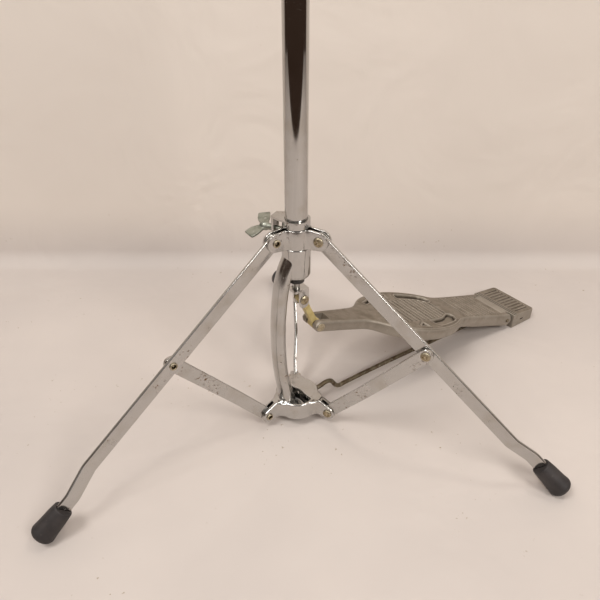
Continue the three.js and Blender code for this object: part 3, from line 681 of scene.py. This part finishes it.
def melt(objects, voxel, passes):
    """Unites overlapping solids into one casting, with soft fillets where they meet."""
    objects = [solid(obj) for obj in objects]
    first = objects[0]
    work = bmesh.new()
    for obj in objects:
        work.from_mesh(obj.data)
    work.to_mesh(first.data)
    work.free()
    for obj in objects[1:]:
        bpy.data.objects.remove(obj)
    return remeshed(first, voxel, 0.6, passes)


def edge_bevel(shape, width, segments=3, angle=35):
    obj = solid(shape)
    modifier = obj.modifiers.new("bevel", "BEVEL")
    modifier.width = width
    modifier.segments = segments
    modifier.limit_method = "ANGLE"
    modifier.angle_limit = radians(angle)
    return apply(obj)


BODY_OF = {node: body for body, nodes in frame["record"]["behaviour"]["bodies"].items() for node in nodes}


def stands_for(node, shape, look, place=Matrix(), sharp=38, name=None):
    """A finer piece for a node, from a geometry or a working object, on that node's body."""
    obj = solid(shape, place)
    obj.name = obj.data.name = name or f"{node}_fine"
    obj.data.transform(move(0, 0, FLOOR) @ Matrix.Scale(MM, 4))
    obj.data.polygons.foreach_set("use_smooth", [True] * len(obj.data.polygons))
    obj.data.set_sharp_from_angle(angle=radians(sharp))
    obj.data.materials.clear()
    obj.data.materials.append(look)
    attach(obj, BODY_OF[node])
    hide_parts(node)
    return obj


def ring_for(node, inner, radius, sides, look):
    """A plain ring for a node, as tall and as wide as the node is."""
    low, high = extent(node)
    stands_for(node, tube(inner, (high[0] - low[0]) / 2, low[2], high[2], radius, sides), look)


# -------------- spine: sleeve, arm and base cup

def cup_outline(inset):
    """Three bulges, one opposite each leg, as one outline in X and Y."""
    out = []
    for ray in map(unit, range(0, 360, 3)):
        reach = 0
        for azimuth in LEGS.values():
            along = ray @ (BULGE_AT * unit(azimuth + 180))
            reach = max(reach, along + sqrt(along ** 2 - BULGE_AT ** 2 + (BULGE - inset) ** 2))
        out.append(tuple(ray * reach))
    return out


def drafted(inset, low, high):
    """The cup's outline as a solid whose sides lean in as they rise."""
    verts, faces = slab(cup_outline(inset), low, high)
    leans = [1.02 - 0.085 * (z - BASE_LOW) / (BASE_HIGH - BASE_LOW) for _, _, z in verts]
    return [(x * lean, y * lean, z) for (x, y, z), lean in zip(verts, leans)], faces


def brace_slot():
    half = BAR_THICK / 2 + CLEARANCE
    inner = BASE_R - BAR_WIDTH / 2 - 1
    middle = BRACE["foot"]
    return block(inner, inner + 30, middle - half, middle + half, 4, BASE_HIGH + 8)


def make_spine(chromed, polished):
    """Arm, base and core are melted into one casting and then drilled; the sleeve is turned separately."""
    arm_line = [(-7, 0, 181), (-12.5, 0, 168), (-17, 0, 150), (-20, 0, 120), (-20.4, 0, 92),
                (-18.6, 0, 62), (-15, 0, 40), (-11.5, 0, 20), (-10.5, 0, 14)]
    arm = swept(arm_line, [6.0, 6.2, 6.2, 6.2, 6.2, 6.2, 6.6, 8.2, 10.5],
                [8.2, 8.5, 8.7, 8.7, 8.7, 8.7, 9.2, 10.6, 13.0])
    core = lathe([(0, 161.3), (9.4, 161.3), (12.1, 164.2), (12.1, 188), (0, 188)], 0.8)
    foot = solid(cylinder(15, 7, 12, 0.6), move(-3, 0, 0))
    dish = cut(drafted(3, 13.2, BASE_HIGH + 9), slab(SHELF, 5, BASE_HIGH - 0.3))
    parts = [arm, core, foot, cut(drafted(0, BASE_LOW, BASE_HIGH), dish)]
    lobe = [(20, BASE_LOW), *arc(BASE_R, BASE_Z, LOBE_R, -90, 62, 14), (26, BASE_HIGH), (20, BASE_HIGH)]
    wedge = [(19.5, -10.5), (26, -LOBE_HALF), (26, LOBE_HALF), (19.5, 10.5)]
    for azimuth in LEGS.values():
        parts.append(solid(slab(lobe, -LOBE_HALF, LOBE_HALF), spoke(azimuth) @ UPRIGHT))
        parts.append(solid(slab(wedge, BASE_LOW, BASE_HIGH - 0.6), spoke(azimuth)))
    tools = [drill(TUBE_BORE, 165, 195, sides=48), drill(5.8, 155, 172, sides=48),
             drill_outward(ROD_HOLE, 16, 46, ROD_START_Z)]
    for azimuth in LEGS.values():
        tools.append(solid(brace_slot(), spoke(azimuth)))
        tools.append(drill_across(RIVET_HOLE, base_place(azimuth), 9, 24))
    casting = cut(melt(parts, 0.62, 14), *tools)
    stands_for("spine_casting", casting, chromed, sharp=50, name="spine_arm_and_base")
    inner, outer, low, high = TUBE_BORE, SLEEVE["r"], SLEEVE["low"], SLEEVE["high"]
    stands_for("spine_casting", tube(inner, outer, low, high, 0.7, 96), polished, name="spine_sleeve")


# -------------- rivets

SHANK = 2.3
HEAD = [(0, -1.95), (1.6, -1.9), (3.3, -1.5), (4.3, -0.7), (4.5, 0), (SHANK, 0)]
TAIL = [(SHANK, 0), (3.4, 0), (3.4, 0.7), (2.9, 1.3), (2.2, 1.2), (1.9, 0.5), (1.8, -1.0), (0.9, -1.0),
        (0.7, -0.2), (0, -0.2)]


def lifted(profile, height):
    return [(r, height + h) for r, h in profile]


def through_rivet(half_grip):
    """A domed head below and a rolled, hollow tail above, along +Z until it is placed."""
    reach = half_grip + CLEARANCE
    return lathe(lifted(HEAD, -reach) + lifted(TAIL, reach), 0.25, 40)


def rivet_head(face, inner):
    return lathe(lifted(HEAD, face - CLEARANCE) + [(SHANK, inner), (0, inner)], 0.3, 40)


def rivet_tail(inner, face):
    return lathe([(0, inner), (SHANK, inner)] + lifted(TAIL, face + CLEARANCE), 0.25, 40)


# -------------- collar

def strap_geometry():
    """Pressed strap: an ear, round the tube, and the other ear, as one bent sheet."""
    thick, ear_r = STRAP["thick"], STRAP["ear"]
    gap = BAR_THICK / 2 + CLEARANCE + thick / 2
    radius = TUBE_R + CLEARANCE + thick / 2
    ear_dir, side = unit(60), unit(-30)
    stations = np.concatenate([np.arange(17.0, COLLAR_R, 1.2),
                               COLLAR_R + ear_r * np.sin(np.linspace(0, pi / 2, 16))])
    ear = [ear_dir * s + side * gap for s in stations[::-1]]
    corner = ear_dir * sqrt(radius ** 2 - gap ** 2) + side * gap
    bend_from, bend_to = ear_dir * 15.6 + side * gap, radius * unit(26)
    bend = [(1 - t) ** 2 * bend_from + 2 * t * (1 - t) * corner + t * t * bend_to
            for t in np.linspace(0, 1, 12)]
    half_line = ear + bend + [radius * unit(a) for a in np.linspace(26, 0, 8)[1:]]
    line = half_line + [p * (1, -1) for p in half_line[-2::-1]]
    halves = []
    for x, y in line:
        s = np.array((x, abs(y))) @ ear_dir
        beyond = max(0.0, s - COLLAR_R)
        half = sqrt(max(ear_r ** 2 - beyond ** 2, 0.2)) if beyond > 0 else ear_r
        halves.append(half + 0.6 * float(smoothstep(s, COLLAR_R - 1, COLLAR_R - 7)))
    return strip([(x, y, COLLAR_Z) for x, y in line], halves, thick, 0.5)


def make_collar(chromed, brass):
    for name, azimuth in (("front", -120), ("pedal", 0), ("clamp", CLAMP_AZIMUTH)):
        tools = [drill_across(RIVET_HOLE, collar_place(turn), sides=24) for turn in (60, -60)]
        if name == "clamp":
            tools.append(drill_outward(BOLT_HOLE, 5, 40, COLLAR_BOLT_Z))
        stands_for(f"collar_strap_{name}", cut(strap_geometry(), *tools), chromed, spoke(azimuth))
    rivet = through_rivet(BAR_THICK / 2 + CLEARANCE + STRAP["thick"])
    for name, azimuth in LEGS.items():
        stands_for(f"collar_rivet_{name}", rivet, brass, collar_place(azimuth) @ ACROSS)

    low, high, reach, plate = 210.1, 216.6, 21.0, 2.0
    roof = slab([(5, -9.5), (12, -8.6), (reach, -5), (reach, 5), (12, 8.6), (5, 9.5)], high - plate, high)
    end_plate = block(reach - plate, reach, -5, 5, 197, high)
    bracket = join(cylinder(11.8, low, high, 0.01, 64), roof, end_plate)
    cut(bracket, drill(TUBE_BORE, 190, 230, sides=64), drill_outward(BOLT_HOLE, 12, 40, COLLAR_BOLT_Z))
    stands_for("clamp_bracket", edge_bevel(bracket, 0.45, 2), chromed, spoke(CLAMP_AZIMUTH))


def wing_bolt(tip, seat, size, stem, turn):
    """Bolt along +X with two pressed blades that have squared ends."""
    hub, start = 3.8 * size, seat + stem * size
    end = start + 6.5 * size
    body = lathe([(0, tip), (2.0, tip), (2.4, tip + 0.8), (2.4, seat), (2.9 * size, seat),
                  (2.9 * size, start - 1), (hub, start), (hub * 1.12, start + 3 * size), (hub * 0.8, end),
                  (0, end + 0.6)], 0.5, 48)
    outline = [(0.2, -1), (0.6, 2), (1.6, 5.3), (2.2, 8), (3.2, 12.0), (6.1, 17.3), (15.6, 12.6),
               (13.3, 7.0), (11.2, 4.2), (8.4, 2.0), (6.3, 0.8), (5.6, -1)]
    blades = []
    for sign in (1, -1):
        blade = slab([(start + x * size, sign * y * size) for x, y in outline], -1.2 * size, 1.2 * size)
        blades.append(edge_bevel(blade, 0.7 * size))
    whole = remeshed(join(solid(body, OUTWARD), *blades), 0.32, 0.5, 5)
    whole.data.transform(Matrix.Rotation(radians(turn), 4, "X"))
    return whole


def make_wing_bolts(zinc):
    for node, azimuth, z, spec in (
            ("collar_wing_bolt", CLAMP_AZIMUTH, COLLAR_BOLT_Z,
             {"tip": TUBE_R + CLEARANCE, "seat": 21.3, "size": 1.0, "stem": 6, "turn": -16}),
            ("height_wing_bolt", CLAMP_AZIMUTH, HEIGHT_BOLT_Z,
             {"tip": UPPER_BORE, "seat": 19.3, "size": 1.15, "stem": 2, "turn": 0}),
            ("clutch_wing_screw", CLUTCH_BOLT_AZIMUTH, CLUTCH_BOLT_Z,
             {"tip": PULL_BORE, "seat": 9.8, "size": 0.9, "stem": 2, "turn": 0})):
        stands_for(node, wing_bolt(**spec), zinc, spoke(azimuth) @ move(0, 0, z))


# -------------- legs, braces and boots

def bar(length, foot, beyond, jog_start, jog_end, holes):
    """Bar along +X with half-round ends; it shifts sideways from foot to beyond across the jog."""
    half = BAR_WIDTH / 2
    low, high = -half, length + half
    stations = np.sort(np.concatenate([end_spacing(low, high, half, 4.0),
                                       np.linspace(jog_start - 5, jog_end + 5, 40)]))
    shift = foot + (beyond - foot) * np.clip((stations - jog_start) / (jog_end - jog_start), 0, 1)
    kernel = np.linspace(-2.5, 2.5, 21)
    fine = np.interp(stations[:, None] + kernel, stations, shift).mean(1)
    path = [(x, y, 0) for x, y in zip(stations, fine)]
    geometry = strip(path, round_ends(stations, low, high, half), BAR_THICK, 0.6)
    return cut(geometry, *(drill_across(RIVET_HOLE, move(x, 0, 0), sides=24) for x in holes))


def make_leg(name, azimuth, look, brace_look, brass, rubber):
    half, grip, offset = BAR_WIDTH / 2, BAR_THICK / 2, BRACE["offset"]
    leg, brace = leg_place(azimuth), brace_place(azimuth)
    leg_bar = bar(LEG["length"] - half, 0, LEG["jog"], LEG["start"], LEG["end"], (0, LEG_KNEE))
    stands_for(f"leg_{name}", leg_bar, look, leg)
    brace_bar = bar(BRACE_LENGTH, BRACE["foot"], offset, BRACE["start"], BRACE["end"], (0, BRACE_LENGTH))
    stands_for(f"brace_{name}", brace_bar, brace_look, brace)
    stands_for(f"knee_rivet_tail_{name}", rivet_tail(-grip, grip), brass,
               leg @ move(LEG_KNEE, 0, 0) @ ACROSS)
    stands_for(f"knee_rivet_head_{name}", rivet_head(offset - grip, offset + grip), brass,
               brace @ move(BRACE_LENGTH, 0, 0) @ ACROSS)
    stands_for(f"base_rivet_{name}", through_rivet(LOBE_HALF), brass, base_place(azimuth) @ ACROSS)

    start, end, top, bottom, edge = (BOOT[k] for k in ("start", "end", "top", "bottom", "edge"))
    profile = [(0, start), (top - 0.25, start), (top, start + 0.9), (top + 0.75, start + 8),
               (bottom - 0.6, end - 9), (bottom, end - edge), (bottom - 1.3, end - 1.3),
               (bottom - edge, end), (0, end)]
    side, deep = grip + CLEARANCE, half + CLEARANCE
    pocket = block(start - 1, LEG["length"] + CLEARANCE, -side, side, -deep, deep)
    boot = cut(solid(lathe(profile, 1.1, 80), OUTWARD), pocket)
    stands_for(f"boot_{name}", boot, rubber, leg @ move(0, LEG["jog"], 0))


# -------------- pedal

OUTLINE_U = [-294, -290, -284, -255, -230, -222, -210, -203, -193, -184, -175, -165, -155, -145, -132, -120,
             -110, -103, -98, -88, -75, -60, -15, 8]
OUTLINE_V = [11.3, 11.3, 11.1, 12.6, 14.5, 18.2, 28, 32.6, 36.8, 40.2, 42.7, 44.3, 45, 44.6, 43, 40.2,
             36.6, 33.4, 30.6, 26.6, 26.1, 26.6, 28.6, 29.6]
NOTCH = [(-207, 20.5), (-200, 23.9), (-193.4, 27), (-194.6, 23.6), (-197, 21.0), (-201, 18.6), (-205, 17.8)]
TRIANGLE = [(-170, 33.5), (-161.8, 28.3), (-160.2, 37.0)]
CRESCENT = [(-147, 26), (-136, 24.6), (-125, 23), (-118, 20.5), (-112, 17), (-106, 14.6), (-102, 16),
            (-101, 20), (-104, 26), (-111, 29.5), (-120, 32), (-131, 34.8), (-142, 36.3), (-146, 33)]
TREAD_GROOVES = [-107 - 6.58 * k for k in range(13)]
HEEL_GROOVES = (-61, -55, -48.5, -42, -35.5, -29)
WIDE_HEEL_GROOVES = (-77, -67.5, -21)


def outline_half(u):
    kernel = np.linspace(-3, 3, 13)
    return np.interp(np.asarray(u)[..., None] + kernel, OUTLINE_U, OUTLINE_V).mean(-1)


def inside_depth(u, v, polygon):
    """Signed distance to a polygon, positive inside."""
    points = np.array(polygon, float)
    inside = np.zeros(u.shape, bool)
    nearest = np.full(u.shape, 1e9)
    for (ax, ay), (bx, by) in zip(points, np.roll(points, -1, 0)):
        crosses = ((ay > v) != (by > v)) & (u < (bx - ax) * (v - ay) / (by - ay + 1e-12) + ax)
        inside ^= crosses
        t = np.clip(((u - ax) * (bx - ax) + (v - ay) * (by - ay)) / ((bx - ax) ** 2 + (by - ay) ** 2), 0, 1)
        nearest = np.minimum(nearest, np.hypot(u - ax - t * (bx - ax), v - ay - t * (by - ay)))
    return np.where(inside, nearest, -nearest)


def groove(u, at, half_width, depth):
    return -depth * (1 - smoothstep(np.abs(u - at), half_width * 0.45, half_width))


def grooves(u, places, half_width, depth):
    return sum(groove(u, at, half_width, depth) for at in places)


def board_relief(u, v):
    """What stands above or below the smooth top of the board."""
    pockets = np.full(u.shape, -9.0)
    for shape in (NOTCH, TRIANGLE, CRESCENT):
        pockets = np.maximum(pockets, inside_depth(u, np.abs(v), shape))
    across = 1 - smoothstep(np.abs(v), 22.5, 24.0)
    clear = 1 - smoothstep(pockets, -2.2, -1.2)
    relief = grooves(u, TREAD_GROOVES, 1.75, 1.7) * across * clear
    narrow = 1 - smoothstep(np.abs(v), 22.6, 24.2)
    relief += (grooves(u, WIDE_HEEL_GROOVES, 1.3, 1.1) + grooves(u, HEEL_GROOVES, 1.15, 0.9)) * narrow
    relief += 0.55 * smoothstep(pockets, -2.4, -1.0) * (1 - smoothstep(pockets, -0.9, 0.2))
    relief -= 2.9 * smoothstep(pockets, -0.2, 1.0)
    edge = outline_half(u) - np.abs(v)
    rim = smoothstep(u, -200, -188) * (1 - smoothstep(u, -100, -92))
    relief += 0.5 * rim * (1 - smoothstep(edge, 2.6, 3.6))
    return relief


def between_ends(u, flat, sign):
    """A height along the board: flat, with a round toe and heel, above (1) or below (-1) their middles."""
    toe = TOE_W + sign * np.sqrt(np.maximum(TOE_R ** 2 - np.minimum(u - TOE_U, 0) ** 2, 0))
    heel = sign * np.sqrt(np.maximum(HEEL_R ** 2 - np.maximum(u, 0) ** 2, 0))
    return np.where(u < TOE_U, toe, np.where(u > 0, heel, flat))


def mirrored_ring(x, top, side, under=()):
    """A closed ring across the board or plate at x: over its top, down one side, under it and up again."""
    other_side = [(-y, z) for y, z in side[::-1]]
    return [(x, y, z) for y, z in [*top, *side, *under, *other_side]]


def make_board(cast, brass, steel):
    toe = TOE_U - (TOE_R - 0.01) * np.cos(np.linspace(0, pi / 2, 10))
    heel = (HEEL_R - 0.01) * np.sin(np.linspace(0, pi / 2, 12))
    u = np.concatenate([toe, np.arange(TOE_U + 0.62, 0, 0.62), heel])
    top = between_ends(u, np.interp(u, [-294, -200, -20, 8], [9.5, 9.5, 7.6, 7.6]), 1)
    bottom = between_ends(u, np.interp(u, [-294, -225, -190, -100, -60, -20, 0],
                                       [-1.1, -1.1, -3, -3, -6, -6.6, -7.7]), -1)
    corners = np.minimum(2.6, 0.49 * (top - bottom))
    lanes = np.linspace(-1, 1, 107)
    turn = np.linspace(0, pi / 2, 7)[1:]
    rings = []
    for x, h, t, b, c in zip(u, outline_half(u), top, bottom, corners):
        v = lanes * (h - c)
        relief = board_relief(np.full(v.shape, x), v) * (TOE_U < x < -4)
        hollow = TOE_U + 24 < x < -9
        lip, wall, roof = min(1.2, c), h - 3.2, max(t - 3.5, b + 0.02) if hollow else b
        side = [(h - c + c * sin(a), t - c + c * cos(a)) for a in turn]
        side += [(h, b + lip), (h - lip * 0.4, b + 0.3), (h - lip, b),
                 (wall + 0.5, b), (wall, min(b + 0.6, roof)), (wall - 0.6, roof)]
        under = [(y, roof) for y in np.linspace(wall - 1.5, -wall + 1.5, 25)]
        rings.append(mirrored_ring(x, zip(v, t + relief), side, under))
    board = cut(loft(rings), block(TOE_U - 20, TOE_U + 14, -5.6, 5.6, -20, 20),
                block(-9.6, 40, -21.7, 21.7, -30, 30),
                drill_across(2.7, move(TOE_U, 0, TOE_W), 40), drill_across(RIVET_HOLE, reach=40))
    stands_for("footboard", board, cast, BOARD, 40)

    pin = [(0, -12.7), (4.2, -12.3), (4.2, -11.6), (2.4, -11.6),
           (2.4, 11.6), (4.2, 11.6), (4.2, 12.3), (0, 12.7)]
    stands_for("toe_pin", lathe(pin, 0.3, 40), brass, TOE @ ACROSS)
    hinge = [(0, -30.4), (1.9, -30.4), (2.3, -30.0), (2.3, 30.0), (1.9, 30.4), (0, 30.4)]
    stands_for("heel_hinge_pin", lathe(hinge, 0.2, 40), steel, BOARD @ ACROSS)


def heel_plate_slab(front, rear, half):
    """The flat part, with two grooves at its front and ribs inside a plain border."""
    ends = 0.35 * np.array([0, 0.3, 1, 2])
    stations = np.concatenate([front + ends, np.arange(front + 1.1, rear - 1.1, 0.42), rear - ends[::-1]])
    corner, foot, round_over = 1.2, 0.8, 0.9
    lanes = np.linspace(-1, 1, 121)
    turn = np.linspace(0, pi / 2, 6)[1:]
    rings = []
    for x in stations:
        near = max(0.0, round_over - min(x - front, rear - x))
        drop = round_over - sqrt(max(round_over ** 2 - near ** 2, 0))
        h = half - (round_over * max(0.0, 4 - (rear - x))) ** 2 / 4
        t = np.interp(x, [front, rear], [19, 14.5]) - drop
        y = lanes * (h - corner)
        grid = np.full(y.shape, x)
        inside = smoothstep(grid, front + 9.6, front + 10.4) * (1 - smoothstep(grid, rear - 5.4, rear - 4.6))
        inside = inside * (1 - smoothstep(np.abs(y), 24.4, 25.4))
        ribs = smoothstep(0.5 + 0.5 * np.cos(2 * pi * y / 5.4), 0.25, 0.75)
        relief = grooves(grid, (front + 3.0, front + 6.2), 1.3, 1.2) - inside * (0.8 - 0.7 * ribs)
        side = [(h - corner + corner * sin(a), t - corner + corner * cos(a)) for a in turn]
        rings.append(mirrored_ring(x, zip(y, t + relief), side + [(h, foot), (h - foot, 0)]))
    return loft(rings)


def make_heel_plate(cast):
    front, rear, half = 301.9, 342.0, 31.6
    plate = cut(heel_plate_slab(front, rear, half),
                block(front + 3.5, rear - 3.5, -half + 4, half - 4, -1, 10),
                drill_outward(ROD_HOLE, front - 3, front + 30, ROD_END_Z),
                block(front + 14, front + 19, -half - 1, -half + 1.4, 7.2, 9.4))
    stands_for("heel_plate", plate, cast, sharp=40, name="heel_plate_slab")

    side = arc(HEEL_X, HEEL_Z, 8, 95, 300, 26)
    side += [(front + 2, 8), (front + 2, 18.9), (front - 1, 19.3), (HEEL_X + 4, 21.4)]
    tongue = edge_bevel(solid(slab(side, -21.4, 21.4), UPRIGHT), 0.8, angle=40)
    cut(tongue, drill_across(RIVET_HOLE, move(HEEL_X, 0, HEEL_Z), 40))
    stands_for("heel_plate", tongue, cast, sharp=40, name="heel_plate_tongue")


def make_radius_rod(steel):
    line = [(17, 0, ROD_START_Z), (28, 0, ROD_START_Z), (36, 0, 20.6), (43, 0, 18.8), (49, 0, 10.5),
            (55, 0, 6.8), (64, 0, 7.4), (120, 0, 8), (200, 0, 6.5), (270, 0, ROD_END_Z), (330, 0, ROD_END_Z)]
    stands_for("radius_rod", swept(line, 2.38, 2.38, 28, 14), steel)


# -------------- pull rod, clevis and link

def make_rods(chromed, steel, black):
    bushing = [(PULL_BORE, 156.5), (7, 156.5), (7, 160.7), (5.5, 160.7), (5.5, 170), (PULL_BORE, 170)]
    stands_for("rod_bushing", hollow_lathe(bushing, 0.4), black)
    stands_for("lower_rod", cylinder(3, 145.5, 440, 0.3, 48), steel)
    upper = [(0, 440.3), (3, 440.3), (3, 878.5), (1.5, 880), (0, 880)]
    stands_for("upper_rod", lathe(upper, 0.4, 48), chromed)
    stands_for("rod_coupler", tube(PULL_BORE, 4.6, 428, 452, 0.4, 48), steel)
    stands_for("spring_collar", tube(PULL_BORE, 6.6, 262.3, 271, 0.5, 48), steel)


def make_clevis(chromed, brass):
    """A fork that hangs from the pull rod, and the rivet that the link turns on."""
    top, floor, reach, half = 148.6, 146.2, 4.9, 5.5
    side = arc(LINK_X, 133.5, reach, 180, 360, 20) + [(LINK_X + reach, top), (LINK_X - reach, top)]
    yoke = solid(slab(side, -half, half), UPRIGHT)
    join(yoke, block(-5, LINK_X + reach, -half, half, floor, top))
    cut(yoke, block(-20, 30, -3.9, 3.9, 123.6, floor))
    yoke = cut(edge_bevel(yoke, 0.5), drill_across(RIVET_HOLE, move(LINK_X, 0, LINK_Z)),
               drill(PULL_BORE, top - 10, top + 5))
    stands_for("clevis", yoke, chromed)
    stands_for("clevis_rivet", through_rivet(half), brass, move(LINK_X, 0, LINK_Z) @ ACROSS)


def make_link(nylon):
    """A waisted strap from the clevis's rivet to the pedal's toe pin."""
    toe = TOE.translation - Vector((LINK_X, 0, LINK_Z))
    length = hypot(toe.z, toe.x)
    waist = [(s, 3.1) for s in np.linspace(3.4, length - 4.6, 12)]
    outline = arc(length, 0, 5.1, 142, -142, 34) + [(s, -h) for s, h in waist[::-1]]
    outline += arc(0, 0, 4.5, -48, -312, 30) + waist
    link = edge_bevel(solid(slab(outline, -3.5, 3.5), UPRIGHT), 0.7, angle=50)
    cut(link, drill_across(RIVET_HOLE), drill_across(3.7, move(length, 0, 0), sides=40))
    turn = Matrix.Rotation(-atan2(toe.z, toe.x), 4, "Y")
    stands_for("link_strap", link, nylon, move(LINK_X, 0, LINK_Z) @ turn)


def make_spring(steel):
    low, high, coil, wire, turns = 171.6, 262, 5.6, 0.8, 9
    up = np.array((0, 0, 1))
    rings = []
    for t in np.linspace(0, 1, turns * 30):
        out = np.array((*unit(360 * turns * t), 0))
        middle = coil * out + up * (low + wire + (high - low - 2 * wire) * t)
        rings.append([middle + wire * (out * cos(b) + up * sin(b))
                      for b in np.arange(10) * 2 * pi / 10])
    spring = stands_for("return_spring", loft(rings), steel)
    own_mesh(spring)


# -------------- tubes and everything above them

def make_tubes(chromed):
    ring_for("lower_tube", 7.9, 0.5, 128, chromed)
    ring_for("upper_tube", 6.1, 0.5, 96, chromed)


def make_height_collar(chromed):
    shell = lathe([(0, 441), (12, 441), (14, 443), (14, 466), (12, 468), (0, 468)], 1.2, 96)
    boss = edge_bevel(block(6, 19, -5.5, 5.5, 455.5, 467.5), 1.6, 4)
    shell = cut(join(shell, boss), drill(TUBE_BORE, 440, 455.3, sides=64),
        drill(UPPER_BORE, 440, 469, sides=64), drill_outward(BOLT_HOLE, 5, 40, HEIGHT_BOLT_Z))
    stands_for("height_collar", shell, chromed, spoke(CLAMP_AZIMUTH))


def make_seat(chromed, zinc, felt):
    screw = move(0, -19, 0)
    cup = [(0, 672), (10.5, 672), (10.5, 688), (22, 692.2), (24, 693), (24, 695), (0, 695)]
    cup = cut(lathe(cup, 0.8, 96), drill(UPPER_BORE, 670, 690.3, sides=64),
              drill(4.5, 680, 699, sides=48), drill(2.3, 680, 699, screw))
    stands_for("seat_cup", cup, chromed)
    ring_for("seat_felt", 5, 1.4, 96, felt)
    knob = [(0, 679), (4.4, 679), (5, 679.6), (5, 684), (4.4, 684.6),
            (2, 685), (2, 699.4), (1.4, 700), (0, 700)]
    stands_for("tilt_screw", lathe(knob, 0.3, 48), zinc, screw)


def make_clutch(chromed, felt):
    sleeve = [(0, 800), (5.6, 800), (5.6, 843), (9.5, 844), (9.5, 861), (8.5, 862), (0, 862)]
    hole = drill(BOLT_HOLE, 5, 30, spoke(CLUTCH_BOLT_AZIMUTH) @ move(0, 0, CLUTCH_BOLT_Z) @ OUTWARD)
    sleeve = cut(lathe(sleeve, 0.5, 80), drill(PULL_BORE, 790, 870, sides=48), hole)
    stands_for("clutch_sleeve", sleeve, chromed)
    for name, round_over, look in (("bottom_nut", 0.7, chromed), ("felt_lower", 1.3, felt),
                                   ("felt_upper", 1.3, felt), ("washer", 0.4, chromed)):
        ring_for(f"clutch_{name}", CLUTCH_BORE, round_over, 80, look)
    nut = edge_bevel(slab(arc(0, 0, 10.5, 0, 300, 6), 830.3, 837), 0.5)
    stands_for("clutch_lock_nut", cut(nut, drill(CLUTCH_BORE, 820, 850, sides=48)), chromed)


# -------------- the whole stand

plain = chrome("bright_chrome", 0.07, 0.0, 0.25)
worn = chrome("worn_chrome", 0.14, 0.5, 0.6)
rusty = chrome("rusted_chrome", 0.22, 1.0, 0.9)
casting_chrome = chrome("chromed_casting", 0.15, 0.15, 0.8)
cast = cast_aluminium()
brass = aged_brass()
steel = tarnished_steel()
zinc = zinc_plate()
drawn = spring_steel()
rubber = black_rubber()
nylon = pale_nylon()
black = black_nylon()
felt = wool_felt()

make_spine(casting_chrome, plain)
make_collar(worn, brass)
make_wing_bolts(zinc)
for leg_name, leg_azimuth in LEGS.items():
    make_leg(leg_name, leg_azimuth, worn, worn if leg_name == "back" else rusty, brass, rubber)
make_board(cast, brass, steel)
make_heel_plate(cast)
make_radius_rod(steel)
make_rods(plain, drawn, black)
make_clevis(plain, brass)
make_link(nylon)
make_spring(drawn)
make_tubes(plain)
make_height_collar(plain)
make_seat(plain, zinc, felt)
make_clutch(plain, felt)

make_stage()
make_light()
make_camera()
bpy.context.scene.view_settings.view_transform = "Standard"
